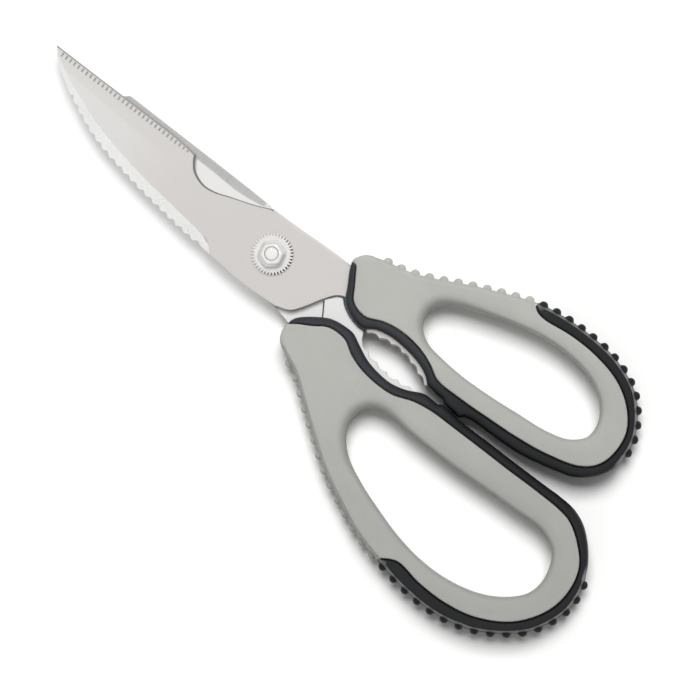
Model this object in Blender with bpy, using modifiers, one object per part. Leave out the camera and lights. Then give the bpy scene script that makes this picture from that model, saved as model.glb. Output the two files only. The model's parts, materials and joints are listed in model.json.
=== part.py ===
"""Fish and game shears with a bone notch, a scaling edge and a cracker between the handles.

The plan of every piece is sketched in millimetres from the pivot, blades toward -X, thumb loop
toward +Y, and is then fitted to the driving dimensions below. The pieces of each half hang on an
empty that stands on the pivot axis.
"""

import math

import bmesh
import bpy
from mathutils import Vector

# Plan, metres from the pivot
BLADE_REACH = 0.0951
GRIP_REACH = 0.1442
BLADE_RISE = 0.0105
BLADE_DROP = 0.01475
THUMB_SPREAD = 0.0521
FINGER_SPREAD = 0.04605

# Heights
HANDLE_THICKNESS = 0.015
BLADE_THICKNESS = 0.0025
TANG_THICKNESS = 0.0055
BLADE_CLEARANCE = 0.0003
FIT = 0.0003

# Handle walls
EDGE_ROUND = 0.0016
SKIN = 0.003
LINING = 0.0024
NODULE_RADIUS = 0.0015
THUMB_NODULE_PITCH = 0.00465
FINGER_NODULE_PITCH = 0.0051
SEAM_DEPTH = 0.0012

# Blade grinds and teeth
EDGE_GRIND = 0.0014
NOTCH_GRIND = 0.0008
REAR_GRIND = 0.0026
REAR_GRIND_RUNOUT = 0.004
REAR_SPINE_LAND = 0.0003
SCALLOP_PITCH = 0.00336
SCALLOP_DEPTH = 0.0009
SCALLOP_COUNT = 18
JAW_TOOTH_PITCH = 0.0042
JAW_TOOTH_DEPTH = 0.0008

# Pivot hardware
BOLT_RADIUS = 0.0022
BOLT_CHAMFER = 0.0003
BOLT_HEAD_RADIUS = 0.0052
BOLT_HEAD_FACE = 0.0039
BOLT_HEAD_HEIGHT = 0.0021
BOLT_HEAD_WALL = 0.0011
SLOT_WIDTH = 0.001
SLOT_DEPTH = 0.0009
NUT_FLATS = 0.0082
NUT_FACE = 0.0029
NUT_HEIGHT = 0.0031
NUT_WALL = 0.0015
NUT_TURN = math.radians(18)
BOLT_PROUD = 0.0002
LOCK_WASHER_RADIUS = 0.0068
LOCK_WASHER_TOOTH = 0.0011
LOCK_WASHER_TEETH = 38
LOCK_WASHER_THICKNESS = 0.0007
REAR_WASHER_RADIUS = 0.0062
REAR_WASHER_THICKNESS = 0.0006

# Reaches that the sketches were drawn to, millimetres
SKETCH_BLADE_REACH = 95.1
SKETCH_GRIP_REACH = 144.2
SKETCH_BLADE_RISE = 10.5
SKETCH_BLADE_DROP = 14.75
SKETCH_THUMB_SPREAD = 52.1
SKETCH_FINGER_SPREAD = 46.05
SKETCH_SHOULDER = 20.0

# Steps of curves
SPAN_STEPS = 12
CHORD_ERROR = 0.00005
ROUND_STEPS = 1
TURN_STEPS = 32
DOME_STEPS = 3
NODULE_SEGMENTS = 8
NODULE_RINGS = 6
SCALLOP_STEPS = 6
JAW_STEPS = 4
SHARP_ANGLE = math.radians(35)
AXIS_SHOWN = 0.01

# Limits of the outline tools: points closer than this are one, a mitred corner lies no further
# off than so many offsets, and a moved point may fall short of its offset by the slack
SAME_PLACE = 1e-7
MITRE_LIMIT = 2
OFFSET_SLACK = 5e-6

# Levels, upward from the floor
MID = HANDLE_THICKNESS / 2
FRONT_LOW = MID + BLADE_CLEARANCE / 2
FRONT_HIGH = FRONT_LOW + BLADE_THICKNESS
REAR_HIGH = MID - BLADE_CLEARANCE / 2
REAR_LOW = REAR_HIGH - BLADE_THICKNESS
TANG_LOW = MID - TANG_THICKNESS / 2
TANG_HIGH = MID + TANG_THICKNESS / 2

# Front blade sketch
FRONT_EDGE = ((-95.1, -0.45), (-80, 1.35), (-60, 3.8), (-48, 5.2), (-39.3, 5.6))
NOTCH = ((-39.3, 5.6), (-37.5, 3.4), (-35.4, 1.7), (-31, 0.6), (-27, 1.4), (-22, 3.8), (-15, 7.2),
         (-9.5, 10.5))
FRONT_SPINE = ((-9.5, 10.5), (0, 11.85), (10, 13.5), (19.5, 14.75))
FRONT_ROOT = ((19.5, 14.75), (27, 14.6), (33, 13), (33, 7), (29, 7.2), (26.4, 7.1))
FRONT_SLOT_MOUTH = ((10, 0), (10, 13))
FRONT_HEEL = ((25.4, 6.3), (23.5, 4.9), (21.3, 1.1), (18.5, -5.2), (16.4, -8.6), (12, -10.9))
FRONT_BELLY = ((12, -10.9), (0, -13), (-10, -13.65), (-14.2, -13.8))
SCALER_HEEL = ((-14.2, -13.8), (-15.4, -13.83), (-16.8, -13.86), (-18.5, -13.9))
SCALER_CREST = ((-18.5, -13.9), (-22, -14.5), (-30, -14.75), (-45, -14.75), (-55, -14.3),
                (-62, -13.75), (-70, -12.3), (-77, -10.2), (-81, -8.7))
SCALER_TIP = ((-81, -8.7), (-86, -6.5), (-90, -4.4), (-92.5, -2.9), (-95.1, -0.45))
SCALER_GRIND = ((-92.5, -2.3), (-90, -3.3), (-86, -4.7), (-70, -8.8), (-60, -10.1), (-50, -10.8),
                (-20, -10.9), (-18.5, -11.1), (-16.8, -11.8), (-15.4, -12.7),
                (-14.2, -13.75))
SCALLOP_START = -19.6

# Rear blade sketch
REAR_SPINE = ((-69.8, 2.1), (-67.6, 4.45), (-40, 7.6), (-20, 9.8), (-12.5, 10.5))
REAR_TOP = ((-12.5, 10.5), (-10.5, 9.8), (0, 10.2), (10, 10), (18, 8.6), (22.5, 6.3), (27, 4))
REAR_ROOT = ((27, 4), (31, 2), (33, -3), (31, -9), (24, -11.4), (19, -11.9))
REAR_SLOT_MOUTH = ((12, -11.3), (-12, 0))
REAR_BELLY = ((19, -11.9), (12, -11.3), (4, -12), (-5, -11.9), (-12, -9.9), (-16, -8.4))
REAR_EDGE = ((-16, -8.4), (-35, -8.2), (-55, -7.2), (-75, -5), (-90, -2.4), (-94.2, -1.25))
REAR_TIP_SPINE = ((-94.2, -1.25), (-80, 0.8), (-69.8, 2.1))
REAR_GRIND_TIP = -91

# Tang and cracker jaw sketches
THUMB_TANG_BACK = ((28.2, 7.3), (29, 12), (33, 14.6), (39, 13.8), (45, 12), (52, 11), (60, 10.1),
                   (66, 8.6), (70.6, 8.2))
THUMB_TANG_END = ((70.6, 8.2), (71.6, 7.4), (70.8, 6.6), (66, 6.3), (64.6, 5.6), (63.8, 4.5))
THUMB_JAW = ((62.8, 3.95), (59.3, 4.95), (54.8, 5.95), (50.4, 6.3), (46.6, 5.8), (42.8, 4.6),
             (38.6, 3.15))
THUMB_TANG_FRONT = ((37.6, 3.6), (36.2, 4.6), (33, 4.9), (30, 5.8), (28.2, 7.3))
FINGER_SHOULDER = ((25.3, -3), (21.8, 1.25))
FINGER_TANG_TOP = ((21.8, 1.25), (22.9, 3.1), (24, 4.6), (25.5, 5.6), (27, 4.7), (29, 3.7),
                   (32, 2.85), (35, 2.55), (37.4, 2.75), (37.9, 2.2))
FINGER_JAW = ((38.8, 0.85), (43.2, -0.65), (47.5, -1.1), (51.8, -1.25), (56, -0.5), (60, 0.65),
              (63.9, 2.2))
FINGER_TANG_END = ((64.9, 1.3), (66.5, 0.4), (70.6, 0.5), (71.6, -0.4), (70.6, -1.6))
FINGER_TANG_BACK = ((70.6, -1.6), (65, -3.4), (58, -5.8), (52, -8), (45, -11), (38, -12.4),
                    (32, -12.6), (28, -11.2), (26.8, -5.4), (25.3, -3))

# Thumb handle sketch
THUMB_COLLAR = ((19.6, 15.9), (21, 13.4), (24, 9.4), (26.9, 5.4), (29, 4.2), (32, 3.3), (35, 3),
                (37, 3.3), (40, 5.8), (45, 7.5), (51, 8), (57, 7.6), (61, 6.4), (63.5, 4.75))
THUMB_PAD = ((63.5, 4.75), (66, 4.75), (70.3, 4.95), (71.4, 4.25), (77.6, 4.4), (78.8, 5.8))
THUMB_BACK = ((78.8, 5.8), (81, 6.6), (90, 7.9), (100, 9.8), (110, 13.3), (116.5, 16.3),
              (121.5, 21.5), (123.7, 29), (122, 37.4), (116.8, 44.6), (110.4, 49.3), (100, 52),
              (90, 51.9), (80, 50.4), (71, 47.8), (62, 43.2), (50, 36), (42, 30.6), (34, 26.1),
              (26, 23.2), (21.6, 20.6), (19.8, 17.6), (19.6, 15.9))
THUMB_HOLE = ((47.7, 21.4), (49.6, 17), (54.5, 14.3), (62, 13.9), (70, 14.4), (80, 16), (90, 18.15),
              (100, 20.45), (107, 23.6), (110.7, 28.5), (110, 33.8), (106, 38.75), (99, 41.8),
              (90, 42.5), (80, 41.1), (70, 37.75), (60, 33.05), (52, 28.4), (48.5, 24.8))
THUMB_GRIP_EDGE = ((21.6, 15.9), (25.7, 11), (28.5, 7.6), (31, 6.5), (35, 6.45), (40, 9.2),
                   (45, 10.8), (50, 11.35), (55, 11.1), (60, 9.9), (65, 8.05), (75, 9), (85, 10.7),
                   (95, 12.6), (105, 15.3), (115, 19.7), (119, 24.2), (120.1, 30), (118.3, 37.5),
                   (113, 43.2), (105, 47), (95, 48.1), (85, 47.2), (75.5, 45), (72.5, 45.1))
THUMB_GRIP_OUTSIDE = ((64, 62), (12, 62), (12, 16.9))
THUMB_SEAM = (70.2, 47.4)
THUMB_NODULE_FIRST = (27.7, 23.9)
THUMB_NODULE_LAST = (123.4, 33.5)

# Finger handle sketch
FINGER_COLLAR = ((18.7, -13.2), (19.1, -10), (20.3, -7.9), (25, -3.3), (28, -1.3), (33, 0),
                 (36, 0.1), (40, -1.3), (45, -2.8), (50, -3.2), (55, -2.8), (60, -0.9), (63.8, 1.6),
                 (65.6, 2.4))
FINGER_PAD = ((65.6, 2.4), (70.3, 2.8), (71.4, 3.85), (77.6, 4), (78.6, 3.95))
FINGER_BACK = ((78.6, 3.95), (81, 4.2), (90, 5.4), (100, 6.6), (110, 7.9), (118, 9), (123.5, 9.2),
               (129, 7.7), (135, 3.6), (139.6, -1.4), (142.8, -7), (144.2, -14.5), (143, -21.4),
               (139.9, -28.5), (133.5, -35.5), (125.5, -41.1), (115.1, -44.8), (103, -46.05),
               (91, -45.45), (80, -43.9), (70, -40.9), (60, -37.3), (50, -32.2), (40, -26.7),
               (31, -21.7), (24, -19.4), (20.2, -16.8), (18.7, -13.2))
FINGER_HOLE = ((53.9, -17.6), (55.4, -23), (61, -28.3), (70, -31.7), (80, -33.9), (90, -35.5),
               (100, -35.85), (110, -34.5), (120, -30.9), (127.2, -25.8), (131.8, -19.5),
               (132.1, -12.8), (128, -5.1), (121, -2.6), (110, -4.05), (100, -5.6), (90, -7.3),
               (80, -8.55), (70, -9.55), (60, -10.65), (55.4, -13.4))
FINGER_GRIP_EDGE = ((20.6, -10.5), (25, -7.1), (28.5, -4.2), (31.5, -3.2), (35.5, -3.1), (40, -5),
                    (45, -6.1), (51, -6.2), (58, -5), (64, -2), (70, -0.2), (80, 1.15), (90, 2.4),
                    (100, 3.55), (110, 4.9), (120, 5.85), (125, 5.45), (131, 2.6), (137, -2.5),
                    (140, -10), (139.7, -19), (134.5, -29), (125, -36.4), (115, -39.9),
                    (105, -41.15), (96, -41), (93, -42.5))
FINGER_GRIP_OUTSIDE = ((86, -56), (12, -56), (12, -11.6))
FINGER_SEAM = (90.9, -45.4)
FINGER_NODULE_FIRST = (27.8, -20.9)
FINGER_NODULE_LAST = (142.8, -5.6)



def lerp(low, high, share):
    """Return the value that lies at a share of the way from low to high."""
    return low + (high - low) * share


def fitted(point):
    """Return a sketch point in metres, fitted to the driving dimensions of the plan."""
    x, y = point
    length = BLADE_REACH / SKETCH_BLADE_REACH if x < 0 else GRIP_REACH / SKETCH_GRIP_REACH
    share = min(max(x / SKETCH_SHOULDER, 0.0), 1.0)
    if y > 0:
        blade, grip = BLADE_RISE / SKETCH_BLADE_RISE, THUMB_SPREAD / SKETCH_THUMB_SPREAD
    else:
        blade, grip = BLADE_DROP / SKETCH_BLADE_DROP, FINGER_SPREAD / SKETCH_FINGER_SPREAD
    return Vector((x * length, y * lerp(blade, grip, share)))


def corners(points):
    """Return sketch points in metres, as one run of an outline with straight sides."""
    return [fitted(point) for point in points]


def flow(knots, closed=False):
    """Return close points on the centripetal spline that runs through the given points."""
    if closed:
        ring = [knots[-1]] + knots + knots[:2]
    else:
        ring = [2 * knots[0] - knots[1]] + knots + [2 * knots[-1] - knots[-2]]
    path = []
    for before, start, end, after in zip(ring, ring[1:], ring[2:], ring[3:]):
        lead, span, tail = (math.sqrt((b - a).length)
                            for a, b in ((before, start), (start, end), (end, after)))
        leave = (start - before) / lead - (end - before) / (lead + span) + (end - start) / span
        arrive = (end - start) / span - (after - start) / (span + tail) + (after - end) / tail
        for step in range(SPAN_STEPS):
            t = step / SPAN_STEPS
            path.append(start * (2 * t ** 3 - 3 * t ** 2 + 1) + end * (3 * t ** 2 - 2 * t ** 3)
                        + leave * span * (t ** 3 - 2 * t ** 2 + t) + arrive * span * (t ** 3 - t ** 2))
    return path if closed else path + [knots[-1]]


def thinned(path):
    """Drop the points of an open path that lie within the chord error of the line past them."""
    if len(path) < 3:
        return list(path)
    start, end = path[0], path[-1]
    chord = end - start
    normal = Vector((-chord.y, chord.x)).normalized() if chord.length > SAME_PLACE else None
    drift = [abs((p - start).dot(normal)) if normal else (p - start).length for p in path]
    far = max(range(len(path)), key=drift.__getitem__)
    if drift[far] <= CHORD_ERROR or far in (0, len(path) - 1):
        return [start, end]
    return thinned(path[:far + 1])[:-1] + thinned(path[far:])


def smooth(points):
    """Return the thinned spline through sketch points, as one run of an outline in metres."""
    return thinned(flow(corners(points)))


def smooth_loop(points):
    """Return the thinned closed spline through sketch points, in metres."""
    path = flow(corners(points), closed=True)
    half = len(path) // 2
    return thinned(path[:half + 1])[:-1] + thinned(path[half:] + path[:1])[:-1]


def joined(*runs):
    """Return one closed outline of runs that meet at corners, each point given once."""
    return matched(runs, runs)[0]


def matched(runs, moved):
    """Return the closed outline of runs, and its points as moved, each point given once."""
    outline, rim = [], []
    for run, places in zip(runs, moved):
        for point, place in zip(run, places):
            if not outline or (point - outline[-1]).length > SAME_PLACE:
                outline.append(point)
                rim.append(place)
    if (outline[0] - outline[-1]).length < SAME_PLACE:
        outline.pop()
        rim.pop()
    return outline, rim


def signed_area(outline):
    """Return the area of a closed outline, positive when it runs counterclockwise."""
    return sum(a.x * b.y - b.x * a.y for a, b in zip(outline, outline[1:] + outline[:1])) / 2


def distance_to(point, outline):
    """Return how far a point lies from a closed outline."""
    nearest = math.inf
    for start, end in zip(outline, outline[1:] + outline[:1]):
        chord = end - start
        share = min(max((point - start).dot(chord) / chord.length_squared, 0.0), 1.0)
        nearest = min(nearest, (start + chord * share - point).length)
    return nearest


def grown(outline, distance):
    """Return a closed outline moved outward by a distance, or inward by a negative one."""
    sign = 1.0 if signed_area(outline) > 0 else -1.0
    moved = []
    for before, here, after in zip(outline[-1:] + outline[:-1], outline, outline[1:] + outline[:1]):
        one, two = (here - before).normalized(), (after - here).normalized()
        normal = Vector((one.y + two.y, -one.x - two.x)).normalized() * sign
        lean = max(normal.dot(Vector((one.y, -one.x)) * sign), 1 / MITRE_LIMIT)
        moved.append(here + normal * distance / lean)
    least = abs(distance) - OFFSET_SLACK
    return [point for point in moved if distance_to(point, outline) > least]


def height_at(line, x):
    """Return the height of a line of points at x, straight between its points."""
    ordered = sorted(line, key=lambda point: point.x)
    for low, high in zip(ordered, ordered[1:]):
        if x <= high.x:
            return lerp(low.y, high.y, max((x - low.x) / (high.x - low.x), 0.0))
    return ordered[-1].y


def walk(path):
    """Return the length of a path up to each of its points."""
    lengths = [0.0]
    for a, b in zip(path, path[1:]):
        lengths.append(lengths[-1] + (b - a).length)
    return lengths


def station(path, target):
    """Return the length along a path at its place nearest to a point."""
    found, nearest = 0.0, math.inf
    for reach, a, b in zip(walk(path), path, path[1:]):
        chord = b - a
        share = min(max((target - a).dot(chord) / chord.length_squared, 0.0), 1.0)
        gap = (a + chord * share - target).length
        if gap < nearest:
            found, nearest = reach + chord.length * share, gap
    return found


def spread(path, first, last, count):
    """Return points spaced evenly along a path, from one length to another."""
    lengths = walk(path)
    places = []
    for i in range(count + 1):
        reach = lerp(first, last, i / count)
        k = max(j for j in range(len(path) - 1) if lengths[j] <= reach)
        places.append(path[k].lerp(path[k + 1], (reach - lengths[k]) / (lengths[k + 1] - lengths[k])))
    return places


def circle(radius):
    """Return a round outline about the pivot."""
    return [Vector((radius * math.cos(math.tau * i / TURN_STEPS),
                    radius * math.sin(math.tau * i / TURN_STEPS))) for i in range(TURN_STEPS)]


def toothed_circle(radius, depth, teeth):
    """Return a round outline with pointed teeth about the pivot."""
    outline = []
    for i in range(2 * teeth):
        reach = radius if i % 2 == 0 else radius - depth
        outline.append(Vector((reach * math.cos(math.pi * i / teeth),
                               reach * math.sin(math.pi * i / teeth))))
    return outline


def dome(face, rim, top, wall):
    """Return the profile of a quarter oval, from a face at the top to a rim at the wall's height."""
    angles = [math.pi / 2 * i / DOME_STEPS for i in range(DOME_STEPS + 1)]
    return [(lerp(face, rim, math.sin(a)), lerp(wall, top, math.cos(a))) for a in angles]


def material(name, colour, roughness, metallic=0.0):
    """Return a plain material of one finish."""
    finish = bpy.data.materials.new(name)
    finish.use_nodes = True
    shader = finish.node_tree.nodes["Principled BSDF"]
    shader.inputs["Base Color"].default_value = (*colour, 1.0)
    shader.inputs["Roughness"].default_value = roughness
    shader.inputs["Metallic"].default_value = metallic
    return finish


def collection(name):
    """Return a new collection linked to the scene."""
    group = bpy.data.collections.new(name)
    bpy.context.scene.collection.children.link(group)
    return group


def slab(name, loops, low, high, rounding=0.0):
    """Return a mesh object of a filled flat outline, with holes, from one height to another."""
    curve = bpy.data.curves.new(name, "CURVE")
    curve.dimensions = "2D"
    curve.fill_mode = "BOTH"
    curve.extrude = (high - low) / 2 - rounding
    curve.bevel_depth = rounding
    curve.bevel_resolution = ROUND_STEPS
    curve.offset = -rounding
    for loop in loops:
        spline = curve.splines.new("POLY")
        spline.points.add(len(loop) - 1)
        for place, point in zip(spline.points, loop):
            place.co = (point.x, point.y, 0.0, 1.0)
        spline.use_cyclic_u = True
    drawn = bpy.data.objects.new(name, curve)
    drawn.location.z = (low + high) / 2
    bpy.context.scene.collection.objects.link(drawn)
    bpy.context.view_layer.update()
    graph = bpy.context.evaluated_depsgraph_get()
    mesh = bpy.data.meshes.new_from_object(drawn.evaluated_get(graph))
    matrix = drawn.matrix_world.copy()
    bpy.data.objects.remove(drawn)
    bpy.data.curves.remove(curve)
    mesh.transform(matrix)
    shape = bmesh.new()
    shape.from_mesh(mesh)
    bmesh.ops.remove_doubles(shape, verts=shape.verts, dist=1e-6)
    bmesh.ops.recalc_face_normals(shape, faces=shape.faces)
    shape.to_mesh(mesh)
    shape.free()
    mesh.name = name
    return bpy.data.objects.new(name, mesh)


def turned(name, profile):
    """Return an object turned from a profile of radius and height, given from top to bottom."""
    mesh = bpy.data.meshes.new(name)
    shape = bmesh.new()
    places = [shape.verts.new((radius, 0.0, height)) for radius, height in profile]
    for a, b in zip(places, places[1:]):
        shape.edges.new((a, b))
    shape.to_mesh(mesh)
    shape.free()
    item = bpy.data.objects.new(name, mesh)
    screw = item.modifiers.new("turn", "SCREW")
    screw.steps = TURN_STEPS
    screw.render_steps = TURN_STEPS
    screw.use_merge_vertices = True
    screw.merge_threshold = 1e-5
    return item


def cutter(item):
    """Put an object among the cutters, out of sight, unless it is there already."""
    if item.name not in CUTTERS.objects:
        CUTTERS.objects.link(item)
    item.parent = PIVOT
    item.hide_render = True
    item.display_type = "WIRE"
    return item


def boolean(item, other, operation, solver="EXACT"):
    """Cut, join or cross an object with another, which becomes a cutter."""
    step = item.modifiers.new(other.name, "BOOLEAN")
    step.operation = operation
    step.solver = solver
    step.object = cutter(other)


def placed(item, half, finish):
    """Put a finished piece in the assembly, on its half of the shears."""
    PARTS.objects.link(item)
    item.parent = half
    item.data.materials.clear()
    item.data.materials.append(finish)
    item.data.shade_smooth()
    item.data.set_sharp_from_angle(angle=SHARP_ANGLE)
    return item


def ground(item, outline, rim, height):
    """Move the outer edge of a slab's face at one height onto a rim, and fill the face again."""
    shape = bmesh.new()
    shape.from_mesh(item.data)
    level = [vertex for vertex in shape.verts if abs(vertex.co.z - height) < 1e-6]
    face = [f for f in shape.faces if all(vertex in level for vertex in f.verts)]
    bmesh.ops.delete(shape, geom=face, context="FACES")
    for vertex in [v for v in level if v.is_valid]:
        near = min(range(len(outline)), key=lambda i: (outline[i] - vertex.co.xy).length)
        if (outline[near] - vertex.co.xy).length < 1e-6:
            vertex.co.xy = rim[near]
    bmesh.ops.remove_doubles(shape, verts=shape.verts, dist=1e-6)
    border = [edge for edge in shape.edges if edge.is_boundary]
    bmesh.ops.triangle_fill(shape, use_beauty=True, use_dissolve=False, edges=border)
    bmesh.ops.recalc_face_normals(shape, faces=shape.faces)
    shape.to_mesh(item.data)
    shape.free()


def scaler_run(grind):
    """Return the scalloped scaling edge, and for each of its points the rim of its ground face."""
    crest = flow(corners(SCALER_CREST))
    start = fitted((SCALLOP_START, 0)).x
    path, rim = [], []
    for i in range(SCALLOP_COUNT * SCALLOP_STEPS + 1):
        x = start - i * SCALLOP_PITCH / SCALLOP_STEPS
        if x <= crest[-1].x:
            break
        wave = 1.0 - abs(math.sin(math.pi * i / SCALLOP_STEPS))
        path.append(Vector((x, height_at(crest, x) + SCALLOP_DEPTH * wave)))
        valley = start - (i + SCALLOP_STEPS // 2) // SCALLOP_STEPS * SCALLOP_PITCH
        rim.append(Vector((valley, height_at(grind, valley))))
    return path, rim


def jaw_run(tips, away):
    """Return a run of pointed cracker teeth along a line of tips, hollowed away from the gap."""
    line = flow(corners(tips))
    length = walk(line)[-1]
    count = max(round(length / JAW_TOOTH_PITCH), 1) * JAW_STEPS
    path = spread(line, 0.0, length, count)
    for i, point in enumerate(path):
        hollow = math.sin(math.pi * (i % JAW_STEPS) / JAW_STEPS) * JAW_TOOTH_DEPTH
        point.y += away * hollow
    return path


def front_blade():
    """Make the front blade: notch, scaling edge, pivot hole and the thumb tang with its jaw."""
    grind = flow(corners(SCALER_GRIND))
    tip = grind[0].x
    edge, notch, spine = smooth(FRONT_EDGE)[:-1], smooth(NOTCH), smooth(FRONT_SPINE)
    plain = [spine, corners(FRONT_ROOT), smooth(FRONT_HEEL), smooth(FRONT_BELLY)]

    tip_rim = Vector((tip, height_at(edge, tip) - EDGE_GRIND))
    edge_rim = [p - Vector((0, EDGE_GRIND)) if p.x > tip else tip_rim for p in edge]
    notch_rim = []
    for before, point, after in zip(edge[-1:] + notch[:-1], notch, notch[1:] + spine[1:2]):
        way = (after - before).normalized()
        notch_rim.append(point + Vector((way.y, -way.x)) * NOTCH_GRIND)
    notch_rim[-1] = notch[-1]

    heel, nose = corners(SCALER_HEEL), smooth(SCALER_TIP)[:-1]
    scallops, scallops_rim = scaler_run(grind)
    heel_rim, nose_rim = ([Vector((max(p.x, tip), height_at(grind, max(p.x, tip)))) for p in run]
                          for run in (heel, nose))
    heel_rim[0] = heel[0]

    outline, rim = matched([edge, notch, *plain, heel, scallops, nose],
                           [edge_rim, notch_rim, *plain, heel_rim, scallops_rim, nose_rim])
    blade = slab("front_blade", [outline, circle(BOLT_RADIUS + FIT)], FRONT_LOW, FRONT_HIGH)
    ground(blade, outline, rim, FRONT_HIGH)
    boolean(blade, slab("thumb_tang", [thumb_tang()], TANG_LOW, TANG_HIGH), "UNION")
    return placed(blade, THUMB_HALF, STEEL)


def rear_blade():
    """Make the rear blade: its ground edge, pivot hole, stop shoulder and finger tang with jaw."""
    tip = fitted((REAR_GRIND_TIP, 0)).x
    edge, tip_spine = smooth(REAR_EDGE), smooth(REAR_TIP_SPINE)
    plain = [corners(REAR_SPINE), smooth(REAR_TOP), corners(REAR_ROOT), smooth(REAR_BELLY)]

    spine_rim = [p if p.x > tip else Vector((tip, height_at(tip_spine, tip))) for p in tip_spine]
    edge_rim = []
    for point in edge:
        x = max(point.x, tip)
        lift = REAR_GRIND * min((edge[0].x - point.x) / REAR_GRIND_RUNOUT, 1.0)
        edge_rim.append(Vector((x, min(height_at(edge, x) + lift,
                                       height_at(tip_spine, x) - REAR_SPINE_LAND))))
    edge_rim[0] = edge[0]

    outline, rim = matched([tip_spine, *plain, edge], [spine_rim, *plain, edge_rim])
    blade = slab("rear_blade", [outline, circle(BOLT_RADIUS + FIT)], REAR_LOW, REAR_HIGH)
    ground(blade, outline, rim, REAR_LOW)
    boolean(blade, slab("finger_tang", [finger_tang()], TANG_LOW, TANG_HIGH), "UNION")
    return placed(blade, FINGER_HALF, STEEL)


def thumb_tang():
    """Return the outline of the thick tang inside the thumb handle, with the upper jaw."""
    return joined(smooth(THUMB_TANG_BACK), corners(THUMB_TANG_END), jaw_run(THUMB_JAW, 1),
                  corners(THUMB_TANG_FRONT))


def finger_tang():
    """Return the outline of the thick tang from the stop shoulder on, with the lower jaw."""
    return joined(corners(FINGER_SHOULDER), smooth(FINGER_TANG_TOP), jaw_run(FINGER_JAW, -1),
                  corners(FINGER_TANG_END), smooth(FINGER_TANG_BACK))


def nodule_places(outline, pitch, first, last):
    """Return the middles of the nodules along the wall of a handle, between two sketch points."""
    path = outline + outline[:1]
    start, end = station(path, fitted(first)), station(path, fitted(last))
    return spread(path, start, end, round(abs(end - start) / pitch))


def nodules(name, places):
    """Return one object of the round nodules at the given places."""
    mesh = bpy.data.meshes.new(name)
    shape = bmesh.new()
    for place in places:
        made = bmesh.ops.create_uvsphere(shape, u_segments=NODULE_SEGMENTS,
                                         v_segments=NODULE_RINGS, radius=NODULE_RADIUS)
        bmesh.ops.translate(shape, verts=made["verts"], vec=(place.x, place.y, MID))
    shape.to_mesh(mesh)
    shape.free()
    return bpy.data.objects.new(name, mesh)


def grip_outline(edge, outside, seam, places, hole):
    """Return the grip's plan, which ends midway between the two nodules nearest the seam."""
    pairs = list(zip(places, places[1:]))
    a, b = min(pairs, key=lambda pair: ((pair[0] + pair[1]) / 2 - fitted(seam)).length)
    middle = (a + b) / 2
    out = Vector((b.y - a.y, a.x - b.x)).normalized()
    if out.dot(middle - sum(hole, Vector((0, 0))) / len(hole)) < 0:
        out = -out
    border = thinned(flow(corners(edge) + [middle - out * SEAM_DEPTH]))
    return joined(border, [middle + out * (NODULE_RADIUS + SEAM_DEPTH)], corners(outside))


def handle(prefix, half, silhouette, hole, grip_plan, places, plates):
    """Make the dark core and the soft grip of one handle, round its tang."""
    web_low, web_high = SKIN, HANDLE_THICKNESS - SKIN
    over = HANDLE_THICKNESS + FIT
    bumps = nodules(prefix + "_nodules", places)
    slots = [slab(prefix + label, [grown(outline, FIT)], low - FIT, high + FIT)
             for label, outline, low, high in plates]

    core = slab(prefix + "_handle_core", [silhouette, hole], 0.0, HANDLE_THICKNESS, EDGE_ROUND)
    boolean(core, bumps, "UNION")
    boolean(core, slab(prefix + "_grip_room", [grown(grip_plan, FIT / 2)], -FIT, over), "DIFFERENCE")
    web = [grown(silhouette, -LINING), grown(hole, LINING)]
    boolean(core, slab(prefix + "_web", web, web_low, web_high), "UNION")

    grip = slab(prefix + "_handle_grip", [silhouette, hole], 0.0, HANDLE_THICKNESS, EDGE_ROUND)
    boolean(grip, bumps, "UNION")
    boolean(grip, slab(prefix + "_grip_area", [grown(grip_plan, -FIT / 2)], -FIT, over), "INTERSECT")
    room = [grown(silhouette, FIT - LINING), grown(hole, LINING - FIT)]
    boolean(grip, slab(prefix + "_web_room", room, web_low - FIT, web_high + FIT), "DIFFERENCE")

    for slot in slots:
        boolean(core, slot, "DIFFERENCE", solver="MANIFOLD")
        boolean(grip, slot, "DIFFERENCE", solver="MANIFOLD")
    placed(core, half, DARK_PLASTIC)
    placed(grip, half, SOFT_GREY)


def thumb_handle():
    """Make the two pieces of the thumb handle."""
    silhouette = joined(smooth(THUMB_COLLAR), corners(THUMB_PAD), smooth(THUMB_BACK))
    hole = smooth_loop(THUMB_HOLE)
    places = nodule_places(silhouette, THUMB_NODULE_PITCH, THUMB_NODULE_FIRST, THUMB_NODULE_LAST)
    plan = grip_outline(THUMB_GRIP_EDGE, THUMB_GRIP_OUTSIDE, THUMB_SEAM, places, hole)
    root = joined(corners(FRONT_ROOT), smooth(FRONT_HEEL), corners(FRONT_SLOT_MOUTH))
    plates = [("_blade_slot", root, FRONT_LOW, FRONT_HIGH),
              ("_tang_slot", thumb_tang(), TANG_LOW, TANG_HIGH)]
    handle("thumb", THUMB_HALF, silhouette, hole, plan, places, plates)


def finger_handle():
    """Make the two pieces of the finger handle."""
    silhouette = joined(smooth(FINGER_COLLAR), corners(FINGER_PAD), smooth(FINGER_BACK))
    hole = smooth_loop(FINGER_HOLE)
    places = nodule_places(silhouette, FINGER_NODULE_PITCH, FINGER_NODULE_FIRST,
                           FINGER_NODULE_LAST)
    plan = grip_outline(FINGER_GRIP_EDGE, FINGER_GRIP_OUTSIDE, FINGER_SEAM, places, hole)
    root = joined(smooth(REAR_TOP), corners(REAR_ROOT), corners(REAR_SLOT_MOUTH))
    plates = [("_blade_slot", root, REAR_LOW, REAR_HIGH),
              ("_tang_slot", finger_tang(), TANG_LOW, TANG_HIGH)]
    handle("finger", FINGER_HALF, silhouette, hole, plan, places, plates)


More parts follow.
